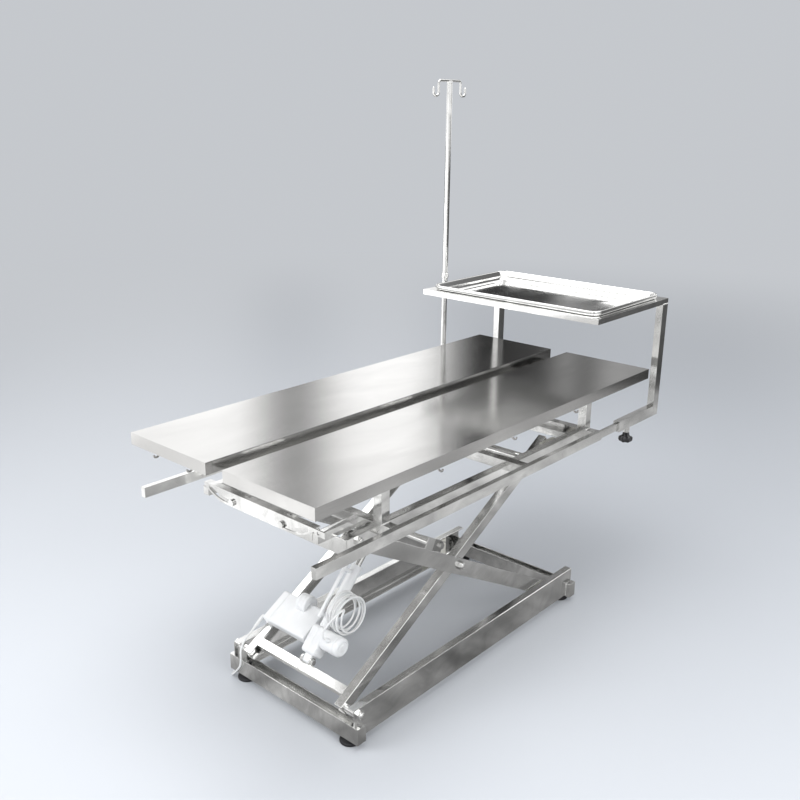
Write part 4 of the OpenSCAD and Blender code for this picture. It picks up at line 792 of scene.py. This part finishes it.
def mirrored_floor(tree, place):
    """The floor's painted reflection, a glow for glossy rays: darker near the table as painted shade, brighter to
    one side, and clouded.
    """
    drawn_in = fill(put(tree, "ShaderNodeMapping", -1500, -700), Scale=MIRROR_SQUEEZE)
    distance = put(tree, "ShaderNodeVectorMath", -1300, -700, operation="LENGTH")
    share = put(tree, "ShaderNodeMath", -1100, -700, operation="DIVIDE")
    share.inputs[1].default_value = MIRROR_REACH
    by_distance = put(tree, "ShaderNodeValToRGB", -900, -700)
    set_stops(by_distance.color_ramp, MIRROR_STOPS)
    heading = put(tree, "ShaderNodeVectorMath", -1300, -950, operation="NORMALIZE")
    facing = along_heading(tree, heading.outputs["Vector"], MIRROR_HEADING, -950)
    by_side = fill(put(tree, "ShaderNodeMapRange", -900, -950),
                   From_Min=MIRROR_EDGE, To_Min=1, To_Max=1 + MIRROR_LIFT)
    clouds = fill(put(tree, "ShaderNodeTexNoise", -1100, -1200), Scale=CLOUD_SCALE, Detail=CLOUD_DETAIL)
    by_cloud = fill(put(tree, "ShaderNodeMapRange", -900, -1200),
                    From_Min=CLOUD_RANGE[0], From_Max=CLOUD_RANGE[1],
                    To_Min=CLOUD_DEPTHS[0], To_Max=CLOUD_DEPTHS[1])
    sided = put(tree, "ShaderNodeMath", -600, -850, operation="MULTIPLY")
    clouded = put(tree, "ShaderNodeMath", -450, -850, operation="MULTIPLY")
    for target in (drawn_in.inputs["Vector"], heading.inputs[0], clouds.inputs["Vector"]):
        tree.links.new(place, target)
    wire(tree,
         (drawn_in, "Vector", distance, 0),
         (distance, "Value", share, 0),
         (share, "Value", by_distance, "Fac"),
         (facing, "Value", by_side, "Value"),
         (clouds, "Fac", by_cloud, "Value"),
         (by_distance, "Color", sided, 0),
         (by_side, "Result", sided, 1),
         (sided, "Value", clouded, 0),
         (by_cloud, "Result", clouded, 1))
    bright = clouded
    for row, (towards, start, end) in enumerate(DARK_PARTS):
        y = -1450 - 250 * row
        far_off = along_heading(tree, place, towards, y)
        darkened = fill(put(tree, "ShaderNodeMapRange", -900, y, interpolation_type="SMOOTHSTEP"),
                        From_Min=start, From_Max=end, To_Min=1, To_Max=DARK_LEFT)
        left = put(tree, "ShaderNodeMath", -700, y, operation="MULTIPLY")
        wire(tree,
             (far_off, "Value", darkened, "Value"),
             (darkened, "Result", left, 0),
             (bright, "Value", left, 1))
        bright = left
    glow = put(tree, "ShaderNodeEmission", -300, -850)
    wire(tree, (bright, "Value", glow, "Strength"))
    return glow


# Half the floor's side, and the distances between which its colour fades to the backdrop's, in metres
FLOOR_REACH = 30
FLOOR_FADE = (2.2, 7.0)


def make_floor(colour):
    """A wide floor whose colour fades to the backdrop's away from the table."""
    mesh = bpy.data.meshes.new("Floor")
    corners = FLOOR_REACH * np.array([(-1, -1, 0), (1, -1, 0), (1, 1, 0), (-1, 1, 0)])
    mesh.from_pydata(corners.tolist(), [], [(0, 1, 2, 3)])
    floor = bpy.data.objects.new("Floor", mesh)
    bpy.context.scene.collection.objects.link(floor)
    made, tree, shader = blank("Floor", Base_Color=(*colour, 1), Roughness=0.35, Specular_IOR_Level=0.3)
    place = put(tree, "ShaderNodeTexCoord", -900, -200)
    distance = put(tree, "ShaderNodeVectorMath", -700, -200, operation="LENGTH")
    fade = fill(put(tree, "ShaderNodeMapRange", -500, -200, interpolation_type="SMOOTHSTEP"),
                From_Min=FLOOR_FADE[0], From_Max=FLOOR_FADE[1])
    glow = fill(put(tree, "ShaderNodeEmission", -300, -300), Color=(*colour, 1))
    mixed = put(tree, "ShaderNodeMixShader", 0, 0)
    seen = put(tree, "ShaderNodeLightPath", 0, 300)
    shown = put(tree, "ShaderNodeMixShader", 250, 0)
    # Glossy rays see the painted reflection of mirrored_floor in place of the lit floor
    wire(tree,
         (place, "Object", distance, 0),
         (distance, "Value", fade, "Value"),
         (fade, "Result", mixed, "Fac"),
         (shader, "BSDF", mixed, 1),
         (glow, "Emission", mixed, 2),
         (seen, "Is Glossy Ray", shown, "Fac"),
         (mixed, "Shader", shown, 1),
         (mirrored_floor(tree, place.outputs["Object"]), "Emission", shown, 2),
         (shown, "Shader", tree.nodes["Material Output"], "Surface"))
    mesh.materials.append(made)


# Brightness of the studio's walls by compass direction, from -180 to 180 degrees, and by the sine of
# the angle above level
WALL_STOPS = [
    (-180, 0.70), (-166, 0.45), (-150, 0.80), (-128, 0.35), (-112, 0.70), (-94, 0.72), (-80, 0.38),
    (-60, 0.72), (-42, 0.14), (-28, 0.14), (-12, 0.95), (8, 0.95), (23, 0.15), (26, 0.30),
    (28.5, 0.32), (29.6, 0.10), (30.8, 0.26), (32.4, 0.05), (37.2, 0.02), (38.8, 0.60), (40, 1.05),
    (44.4, 1.05), (46.5, 0.62), (48.6, 0.16), (50.2, 0.60), (51.6, 1.05), (62, 1.0), (76, 0.5),
    (100, 0.72), (122, 0.35), (150, 0.72), (180, 0.70),
]
HEIGHT_STOPS = [
    (0, 1.35), (0.08, 1.15), (0.17, 0.95), (0.3, 1.0), (0.50, 0.85), (0.61, 1.0), (0.68, 3.4), (0.88, 3.4),
    (0.97, 1.0),
]
# Strength of the studio for reflections, and of the plain light that everything else gets
STUDIO_STRENGTH = 1.3
SOFT_STRENGTH = 1.0


def make_world(colour):
    """A pale backdrop, and for reflections a studio of bright walls with dark gaps."""
    world = bpy.data.worlds.new("Studio")
    bpy.context.scene.world = world
    world.use_nodes = True
    tree = world.node_tree
    backdrop = fill(tree.nodes["Background"], Color=(*colour, 1))
    place = put(tree, "ShaderNodeTexCoord", -1400, 0)
    parts = put(tree, "ShaderNodeSeparateXYZ", -1200, 0)
    heading = put(tree, "ShaderNodeMath", -1000, 100, operation="ARCTAN2")
    turn = fill(put(tree, "ShaderNodeMapRange", -800, 100), From_Min=-pi, From_Max=pi)
    walls = put(tree, "ShaderNodeValToRGB", -600, 100)
    walls.color_ramp.interpolation = "EASE"
    set_stops(walls.color_ramp, WALL_STOPS)
    heights = put(tree, "ShaderNodeValToRGB", -600, -200)
    set_stops(heights.color_ramp, HEIGHT_STOPS)
    product = put(tree, "ShaderNodeMix", -250, 0, data_type="RGBA", blend_type="MULTIPLY")
    fill(product, Factor=1)
    studio = fill(put(tree, "ShaderNodeBackground", -50, -100), Strength=STUDIO_STRENGTH)
    soft = fill(put(tree, "ShaderNodeBackground", -50, -250), Color=(*colour, 1), Strength=SOFT_STRENGTH)
    seen = put(tree, "ShaderNodeLightPath", -50, 300)
    lit = put(tree, "ShaderNodeMixShader", 150, -100)
    mixed = put(tree, "ShaderNodeMixShader", 350, 0)
    wire(tree,
         (place, "Generated", parts, "Vector"),
         (parts, "Y", heading, 0),
         (parts, "X", heading, 1),
         (heading, "Value", turn, "Value"),
         (turn, "Result", walls, "Fac"),
         (parts, "Z", heights, "Fac"),
         (walls, "Color", product, "A"),
         (heights, "Color", product, "B"),
         (product, "Result", studio, "Color"),
         (seen, "Is Glossy Ray", lit, "Fac"),
         (soft, "Background", lit, 1),
         (studio, "Background", lit, 2),
         (seen, "Is Camera Ray", mixed, "Fac"),
         (lit, "Shader", mixed, 1),
         (backdrop, "Background", mixed, 2),
         (mixed, "Shader", tree.nodes["World Output"], "Surface"))


# Soft boxes: name, place, target, side in metres and power in watts
LAMPS = [
    ("Overhead box", (-0.6, -0.4, 3.6), (0, 0, 0.5), 2.4, 75),
    ("Side box", (-2.6, 1.2, 1.9), (0, 0, 0.4), 1.6, 48),
    ("Front box", (-0.6, -3.0, 1.9), (0, 0, 0.4), 1.8, 45),
]


def make_lamp(name, place, target, size, power):
    """A square soft box that faces its target and that metal doesn't show."""
    data = bpy.data.lights.new(name, "AREA")
    data.size = size
    data.energy = power
    lamp = bpy.data.objects.new(name, data)
    lamp.location = place
    lamp.visible_glossy = False
    lamp.rotation_mode = "QUATERNION"
    lamp.rotation_quaternion = (Vector(target) - Vector(place)).to_track_quat("-Z", "Y")
    bpy.context.scene.collection.objects.link(lamp)


class DissectionTable_OT_stage(bpy.types.Operator):
    """Make the camera, the pale floor, the backdrop and the soft lamps"""

    bl_idname = "dissection_table.stage"
    bl_label = "Stage"

    def execute(self, context):
        values = settings()
        context.scene.view_settings.view_transform = "Standard"
        make_camera()
        make_floor(tuple(values.floor_colour))
        make_world(tuple(values.floor_colour))
        for lamp in LAMPS:
            make_lamp(*lamp)
        return {"FINISHED"}


class DissectionTable_OT_cables(bpy.types.Operator):
    """Make the mains lead with its stored coil, and the motor cable with its spare loops"""

    bl_idname = "dissection_table.cables"
    bl_label = "Cables"

    def execute(self, context):
        diameter = settings().cable_diameter
        route = mains_route(diameter)
        mesh = cable_mesh("mains_cable", route, diameter)
        cable = bpy.data.objects.new("mains_cable", mesh)
        context.scene.collection.objects.link(cable)
        mesh.materials.append(MATERIALS["white_cable"])
        smoothed(mesh)
        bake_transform(cable)
        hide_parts("mains_lead", "mains_coil")
        dressed("plug", plug_parts(), "base", "white_cable", ["mains_plug"])
        relief = [sleeve(route[:len(RELIEF_RADII)], RELIEF_RADII)]
        dressed("lead_relief", relief, "arm_a", "white_cable")
        route = motor_route(diameter)
        mesh = cable_mesh("motor_lead", route, diameter)
        cable = finished("motor_lead", mesh, "actuator", "white_cable", ["motor_cable", "cable_hank"])
        return {"FINISHED"}


# Pieces: a profile is a list of insets and heights in metres, carried round an outline by stack

PLUG_RIBS = (-0.009, -0.005, -0.001, 0.003)
PIN_SPREAD = 0.007


def plug_parts():
    """A ribbed sleeve on the cord, a waisted grip, the flat face and two round pins."""
    place = on_table(PLUG_FACE)
    ribs = [(0.0042, -0.010), (0.0018, -0.010)]
    for start in PLUG_RIBS:
        ribs += [(0.0010, start), (0.0010, start + 0.002), (0.0022, start + 0.0025), (0.0022, start + 0.0035)]
    ribs += [(0.0005, 0.009), (0.0042, 0.009)]
    grip = eased([(0.0080, 0.007), (0.0040, 0.007), (0.0012, 0.014), (0.0022, 0.022), (0.0022, 0.027),
                  (0.0, 0.034), (0.0, 0.042), (0.0080, 0.042)], 0.002)
    parts = [stack(round_bar(0.0054), eased(ribs, 0.0004), place, AHEAD, UP),
             stack(rounded_box(0.0088, 0.0128, 0.0075), grip, place, AHEAD, UP)]
    pin = eased([(0.0018, 0.041), (0.0, 0.041), (0.0, 0.059), (0.0009, 0.060), (0.0018, 0.060)], 0.0006)
    for side in (-1, 1):
        parts.append(stack(round_bar(0.002), pin, place + side * PIN_SPREAD * SIDEWAYS, AHEAD, UP))
    return parts


# Pressed tray: its profile runs from the middle of its underside out and up, over the rolled rim,
# down the wall and in over the floor
TRAY_MIDDLE = (0.549, 0, 0)
TRAY_HALF = (0.180, 0.277)
TRAY_CORNER = 0.032
TRAY_PROFILE = [
    (0.150, 0.8623), (0.0200, 0.8623), (0.0165, 0.8665), (0.0125, 0.8763), (0.0040, 0.8763), (0.0006, 0.8800),
    (0.0, 0.8872), (0.0020, 0.8900), (0.0050, 0.8893), (0.0078, 0.8850), (0.0202, 0.8641), (0.150, 0.8641),
]


def tray_parts():
    """A pressed sheet: a rolled rim whose flat underside rests on the frame, steep walls and a flat floor."""
    outline = rounded_box(*TRAY_HALF, TRAY_CORNER)
    return [stack(outline, eased(TRAY_PROFILE, 0.0022), on_table(TRAY_MIDDLE), UP, AHEAD)]


# Control box and its round cover, in the inner arm's directions: places are along and above the arm,
# and ends are across it
BOX_MIDDLE = (0.120, 0.030)
BOX_HALF = (0.045, 0.015)
BOX_ENDS = (0.020, 0.170)
LID_DEPTH = 0.022
COVER_MIDDLE = (0.158, 0.042)
COVER_ENDS = (0.069, 0.103)
COVER_RADIUS = 0.024


def across_arm(outline, profile, middle):
    """A stack that runs across the inner arm, about a place along and above it."""
    along, out = middle
    return stack(outline, profile, on_arm_a([along, 0, out]), SIDEWAYS, ARM_A_ALONG)


def box_parts():
    """The rounded box with a lid seam, its ringed cover and the lead's gland."""
    y0, y1 = BOX_ENDS
    seam = y1 - LID_DEPTH
    shell = eased([(0.012, y0), (0, y0), (0, seam - 0.0008), (0.0012, seam), (0, seam + 0.0008), (0, y1),
                   (0.012, y1)], 0.0035)
    c0, c1 = COVER_ENDS
    cover = eased([(0.022, c0 + 0.002), (0.014, c0 + 0.002), (0.013, c0), (0.0022, c0), (0, c0 + 0.002),
                   (0, c0 + 0.010), (0.0012, c0 + 0.011), (0, c0 + 0.012), (0, c1 - 0.012),
                   (0.0012, c1 - 0.011), (0, c1 - 0.010), (0, c1 - 0.002), (0.0022, c1), (0.008, c1),
                   (0.009, c1 - 0.0012), (0.010, c1), (0.013, c1), (0.014, c1 - 0.002),
                   (0.022, c1 - 0.002)], 0.0012)
    gland = eased([(0.004, y1 - 0.001), (0, y1 - 0.001), (0, y1 + 0.003), (0.0012, y1 + 0.0035),
                   (0.0014, y1 + 0.006), (0.004, y1 + 0.006)], 0.0006)
    return [across_arm(rounded_box(*BOX_HALF, 0.006), shell, BOX_MIDDLE),
            across_arm(round_bar(COVER_RADIUS), cover, COVER_MIDDLE),
            across_arm(round_bar(0.006, 0.0006, 12), gland, (MAINS_GLAND[0], MAINS_GLAND[2]))]


# Actuator: gearbox and motor, in its own directions; the screws' places are along and above its axis
CASE_ENDS = (0.014, 0.084)
CASE_HALF_HEIGHT = 0.020
CASE_HALF_WIDTH = 0.022
MOTOR_RADIUS = 0.0245
MOTOR_END = -0.077
GLAND_RIBS = (-0.008, -0.0055, -0.003)
SCREWS = [(0.022, 0.012), (0.022, -0.012), (0.0345, 0.015), (0.0345, -0.015)]


def across_actuator(outline, profile, along, out=0):
    """A stack that runs across the actuator, about a place along and above its axis."""
    return stack(outline, profile, on_actuator([along, 0, out]), SIDEWAYS, ACTUATOR_ALONG)


def case_parts():
    """The rounded gearbox in two halves with its screws, the stepped motor and the ribbed cable gland."""
    middle = (CASE_ENDS[0] + CASE_ENDS[1]) / 2
    half = (CASE_ENDS[1] - CASE_ENDS[0]) / 2
    w = CASE_HALF_WIDTH
    shell = eased([(0.016, -w), (0.003, -w), (0, -w + 0.003), (0, -0.0008), (0.001, 0), (0, 0.0008),
                   (0, w - 0.003), (0.003, w), (0.016, w)], 0.003)
    tail = eased([(0.006, -0.0117), (0, -0.0117), (0, 0.0117), (0.006, 0.0117)], 0.0012)
    m = MOTOR_END
    motor = eased([(0.022, m), (0.016, m), (0.0155, m + 0.0015), (0.009, m + 0.0015), (0.0085, m),
                   (0.006, m), (0.001, m + 0.004), (0.0005, m + 0.012), (0.0018, m + 0.0125),
                   (0.0018, m + 0.0145), (0.0005, m + 0.015), (0.0005, m + 0.042), (0, m + 0.043),
                   (0, m + 0.056), (0.010, m + 0.056)], 0.0012)
    motor_along, across, top = MOTOR_GLAND
    ribs = [(0.004, top - 0.0125), (0, top - 0.0125), (0, top - 0.009)]
    for start in GLAND_RIBS:
        ribs += [(0.0012, top + start), (0.0012, top + start + 0.0008),
                 (0.0003, top + start + 0.0012), (0.0003, top + start + 0.0018)]
    ribs += [(0.0018, top), (0.0045, top)]
    head = eased([(0.0020, -w - 0.0002), (0.0016, -w - 0.0014), (0.0006, -w - 0.0014), (0, -w - 0.0006),
                  (0, -w + 0.001), (0.002, -w + 0.001)], 0.0005)
    parts = [across_actuator(rounded_box(half, CASE_HALF_HEIGHT, 0.009), shell, middle),
             across_actuator(round_bar(0.0075), tail, 0),
             across_actuator(rounded_box(0.009, 0.0075, 0.0005), tail, 0.009),
             across_actuator(round_bar(MOTOR_RADIUS), motor, motor_along),
             stack(round_bar(0.006), eased(ribs, 0.0005), on_actuator([motor_along, across, 0]),
                   ACTUATOR_OUT, ACTUATOR_ALONG)]
    return parts + [across_actuator(round_bar(0.003), head, along, out) for along, out in SCREWS]


# Knobs, feet and collar
STAR_PLACE = (0.578, 0.283, 0.4832)
POLE_PLACE = (0.475, 0.311)
POLE_KNOB_HEIGHT = 0.5425
COLLAR_HEIGHT = 0.9
FEET = {"foot_near_left": (-0.445, 0.183), "foot_near_right": (-0.445, -0.183),
        "foot_far_left": (0.441, 0.183), "foot_far_right": (0.441, -0.183)}
# Thread of a foot's stud: its ridges and grooves in turn, from its lower end up
THREAD_EDGES = 26
THREAD_DEPTH = 0.0004
THREAD_START = 0.0168
THREAD_STEP = 0.00085
SET_SCREW_WAY = (-0.6, -0.8, 0)


def star_parts(side):
    """A six-lobed head with a dished face, its hub and its stud, pointing up."""
    x, y, z = STAR_PLACE
    place = on_table((x, side * y, z))
    head = eased([(0.016, 0.0016), (0.010, 0.0012), (0.006, 0), (0.0035, 0), (0.0, 0.004), (0.0, 0.0125),
                  (0.0035, 0.016), (0.0075, 0.0165), (0.0105, 0.020), (0.0110, 0.028),
                  (0.016, 0.028)], 0.0028)
    stud = [(0.003, 0.026), (0, 0.026), (0, 0.0483), (0.003, 0.0483)]
    return [stack(round_bar(0.020, 0.0045, 6), head, place, UP, AHEAD),
            stack(round_bar(0.004), stud, place, UP, AHEAD)]


def pole_knob_parts():
    """A ribbed head and collar on the stud that presses on the pole, pointing outwards."""
    place = on_table((POLE_PLACE[0], 0, POLE_KNOB_HEIGHT))
    head = eased([(0.012, 0.3255), (0.006, 0.3255), (0.006, 0.335), (0.003, 0.3362), (0, 0.339), (0, 0.3475),
                  (0.003, 0.3518), (0.009, 0.3518), (0.010, 0.3508), (0.012, 0.3508)], 0.0018)
    stud = [(0.003, 0.3195), (0, 0.3195), (0, 0.327), (0.003, 0.327)]
    return [stack(round_bar(0.014, 0.0022, 10), head, place, SIDEWAYS, AHEAD),
            stack(round_bar(0.004), stud, place, SIDEWAYS, AHEAD)]


def foot_parts(x, y):
    """A moulded pad with a skirt, a swept cone, the hexagon that turns it and a threaded stud."""
    place = on_table((x, y, 0))
    pad = eased([(0.018, 0.0), (0.0012, 0.0), (0, 0.0016), (0, 0.0060), (0.0022, 0.0076), (0.008, 0.0088),
                 (0.013, 0.0118), (0.016, 0.0130), (0.022, 0.0130)], 0.0016)
    edges = np.arange(THREAD_EDGES)
    thread = np.c_[np.where(edges % 2 == 0, THREAD_DEPTH, 0.0), THREAD_START + edges * THREAD_STEP]
    stud = np.vstack([[0.003, 0.0165], thread, [0.003, thread[-1, 1]]])
    nut = eased([(0.006, 0.010), (0.0012, 0.010), (0.0002, 0.011), (0.0002, 0.0158), (0.0012, 0.0167),
                 (0.006, 0.0167)], 0.0003)
    return [stack(round_bar(0.025), pad, place, UP, AHEAD),
            stack(round_bar(0.004), stud, place, UP, AHEAD),
            stack(six_sided(0.009), nut, place, UP, AHEAD)]


def collar_parts():
    """The stop ring on the pole beside the tray, with its small set screw."""
    place = on_table((*POLE_PLACE, COLLAR_HEIGHT))
    ring = eased([(0.0035, -0.007), (0, -0.007), (0, 0.007), (0.0035, 0.007)], 0.0009)
    screw = eased([(0.002, 0.008), (0, 0.008), (0, 0.0165), (0.002, 0.0165)], 0.0006)
    return [stack(round_bar(0.0105), ring, place, UP, AHEAD),
            stack(round_bar(0.0032), screw, place, SET_SCREW_WAY, UP)]


# Domed caps of the pivot bolts: body, place of the bolt's outer end and radius
SCISSOR_X, _, SCISSOR_Z = ARM_A_CENTRE - TABLE_MIDDLE
CAPS = [
    ("base", (-0.445, 0.219, 0.084), 0.0092),
    ("platform", (-0.445, 0.218, 0.516), 0.0085),
    ("arm_a", (SCISSOR_X, 0.1953, SCISSOR_Z), 0.0088),
]
CAP_STEPS = 8
CAP_LIP = 0.0008
CAP_COLLAR = 0.0012
CAP_RISE = 0.0052


def cap_parts(place, side, radius):
    """A low dome with a thin collar, facing outwards."""
    x, y, z = place
    t = np.linspace(0, pi / 2, CAP_STEPS)[:-1]
    dome = np.c_[radius * (1 - np.cos(t)) + CAP_LIP, CAP_COLLAR + CAP_RISE * np.sin(t)]
    profile = np.vstack([[radius * 0.8, -0.001], [0, -0.001], [0, 0.0010], dome])
    return stack(round_bar(radius), profile, on_table((x, side * y, z)), side * SIDEWAYS, AHEAD)


# Weld beads, in metres: the seams of each body, each mirrored to both sides of the table
POST_FEET = [(-0.405, 0.240), (0.412, 0.240)]
POST_HALF = 0.0125
POST_FOOT = 0.555
BEADS = {
    "base": [
        ((-0.437, 0.212, 0.019), (-0.437, 0.212, 0.058)), ((0.428, 0.212, 0.019), (0.428, 0.212, 0.058)),
    ],
    "platform": [
        ((-0.541, 0.172, 0.555), (-0.541, 0.190, 0.555)), ((-0.541, 0.172, 0.536), (-0.541, 0.172, 0.554)),
        *(((x, 0.276, 0.531), (x, 0.276, 0.554)) for x in (-0.3925, -0.4175, 0.0625, 0.0875, 0.3995)),
        # Across the two free sides of each rest post's foot
        *(((x - POST_HALF, across, POST_FOOT), (x + POST_HALF, across, POST_FOOT))
          for x, y in POST_FEET for across in (y - POST_HALF, y + POST_HALF)),
    ],
    "tray_frame": [
        ((0.745, 0.2635, 0.861), (0.745, 0.2925, 0.861)), ((0.715, 0.293, 0.861), (0.744, 0.293, 0.861)),
        ((0.715, 0.264, 0.861), (0.715, 0.2925, 0.861)),
    ],
}
BEAD_RADIUS = 0.0021
BEAD_PITCH = 0.0026
BEAD_STEPS = 6
LEAST_BEAD = 8
RIPPLE_DEPTH = 0.00045
TAPER_DEPTH = 0.7 * BEAD_RADIUS
TAPER_REACH = 0.0012
UPRIGHT_SHARE = 0.9


def bead(start, end):
    """A weld bead: overlapping ripples, so the inset is a rectified cosine of the length."""
    start, end = on_table(start), on_table(end)
    length = np.linalg.norm(end - start)
    s = np.linspace(0, length, max(LEAST_BEAD, round(length / BEAD_PITCH * BEAD_STEPS)))
    ripple = RIPPLE_DEPTH * np.abs(np.cos(pi * s / BEAD_PITCH))
    taper = TAPER_DEPTH * np.exp(-np.minimum(s, length - s) / TAPER_REACH)
    way = end - start
    side = UP if abs(way[2]) < UPRIGHT_SHARE * length else AHEAD
    return stack(round_bar(BEAD_RADIUS), np.c_[ripple + taper, s], start, way, side)


def seam_beads(seams):
    """The beads of a body's seams, on both sides of the table."""
    return [bead(start * np.array([1, side, 1]), end * np.array([1, side, 1]))
            for side in (-1, 1) for start, end in seams]


# Solids whose edges are rounded: folded sheets, square tubes and turned or cut pieces
FOLDED = ["panel_left", "panel_right", "drain_trough", "saddle", "side_channel_left", "side_channel_right",
          "cross_channel_near", "cross_channel_far", "upper_channel_left", "upper_channel_right",
          "upper_end_plates", "arm_a_left", "arm_a_right", "arm_b_left", "arm_b_right"]
TUBES = ["crosspiece_near", "crosspiece_mid", "crosspiece_far", "rail_left", "rail_right", "tray_frame",
         "arm_a_cross_high", "pole_clamp"]
TURNED = ["lower_pivots", "upper_pivots", "arm_a_pins", "arm_b_pins", "arm_a_cross_low", "arm_b_cross",
          "actuator_rod", "drip_pole", "bottle_hook", "strut_rod_left", "strut_rod_right", "strut_body_left",
          "strut_body_right", "slider_lower_left", "slider_lower_right", "slider_upper_left",
          "slider_upper_right", "actuator_tube"]


class DissectionTable_OT_frame(bpy.types.Operator):
    """Round the folds, tube corners and turned edges of the solids"""

    bl_idname = "dissection_table.frame"
    bl_label = "Folded and welded frame"

    def execute(self, context):
        values = settings()
        for nodes, radius in ((FOLDED, values.fold_radius), (TUBES, values.tube_radius),
                              (TURNED, values.turned_edge)):
            for node in nodes:
                softened(node, radius)
        return {"FINISHED"}


class DissectionTable_OT_tray(bpy.types.Operator):
    """Make the pressed tray, and the stop ring beside it on the pole"""

    bl_idname = "dissection_table.tray"
    bl_label = "Tray and collar"

    def execute(self, context):
        redressed("pressed_tray", tray_parts(), "tray", finish="tray_steel")
        dressed("pole_collar", collar_parts(), body_of_node("drip_pole"), slot_of_node("drip_pole"),
                finish="bright_steel")
        return {"FINISHED"}


class DissectionTable_OT_drive(bpy.types.Operator):
    """Make the control box and the gearbox with its motor"""

    bl_idname = "dissection_table.drive"
    bl_label = "Drive"

    def execute(self, context):
        redressed("control_shell", box_parts(), "control_box")
        redressed("gearbox_shell", case_parts(), "actuator_case")
        return {"FINISHED"}


class DissectionTable_OT_knobs(bpy.types.Operator):
    """Make the star knobs, the pole knob and the levelling feet"""

    bl_idname = "dissection_table.knobs"
    bl_label = "Knobs and feet"

    def execute(self, context):
        made = [("star_knob_left", star_parts(1)), ("star_knob_right", star_parts(-1)),
                ("pole_knob", pole_knob_parts())]
        made += [(node, foot_parts(x, y)) for node, (x, y) in FEET.items()]
        for node, parts in made:
            redressed(node + "_form", parts, node)
        return {"FINISHED"}


class DissectionTable_OT_fasteners(bpy.types.Operator):
    """Make the domed caps of the pivot bolts and the weld beads of the frame"""

    bl_idname = "dissection_table.fasteners"
    bl_label = "Caps and welds"

    def execute(self, context):
        for body, place, radius in CAPS:
            parts = [cap_parts(place, side, radius) for side in (-1, 1)]
            dressed(body + "_caps", parts, body, "bright_steel")
        for body, seams in BEADS.items():
            dressed(body + "_welds", seam_beads(seams), body, "bright_steel")
        return {"FINISHED"}


class DissectionTable_PT_panel(bpy.types.Panel):
    """The table's settings and pieces, in the 3D view's sidebar"""

    bl_idname = "DISSECTION_TABLE_PT_panel"
    bl_label = "Dissection table"
    bl_space_type = "VIEW_3D"
    bl_region_type = "UI"
    bl_category = "Table"

    def draw(self, context):
        values = context.scene.dissection_table
        for name in DissectionTableSettings.__annotations__:
            self.layout.prop(values, name)
        for operator in OPERATORS:
            self.layout.operator(operator.bl_idname)


OPERATORS = (
    DissectionTable_OT_stage,
    DissectionTable_OT_materials,
    DissectionTable_OT_cables,
    DissectionTable_OT_frame,
    DissectionTable_OT_tray,
    DissectionTable_OT_drive,
    DissectionTable_OT_knobs,
    DissectionTable_OT_fasteners,
)
CLASSES = (DissectionTableSettings, *OPERATORS, DissectionTable_PT_panel)


def register():
    """Makes the classes and the scene's settings known to Blender."""
    for cls in CLASSES:
        bpy.utils.register_class(cls)
    bpy.types.Scene.dissection_table = PointerProperty(type=DissectionTableSettings)


def unregister():
    """Takes the settings and the classes away again."""
    del bpy.types.Scene.dissection_table
    for cls in reversed(CLASSES):
        bpy.utils.unregister_class(cls)


def main():
    """Makes the whole scene."""
    register()
    for operator in OPERATORS:
        group, name = operator.bl_idname.split(".")
        getattr(getattr(bpy.ops, group), name)()


if __name__ == "__main__":
    main()
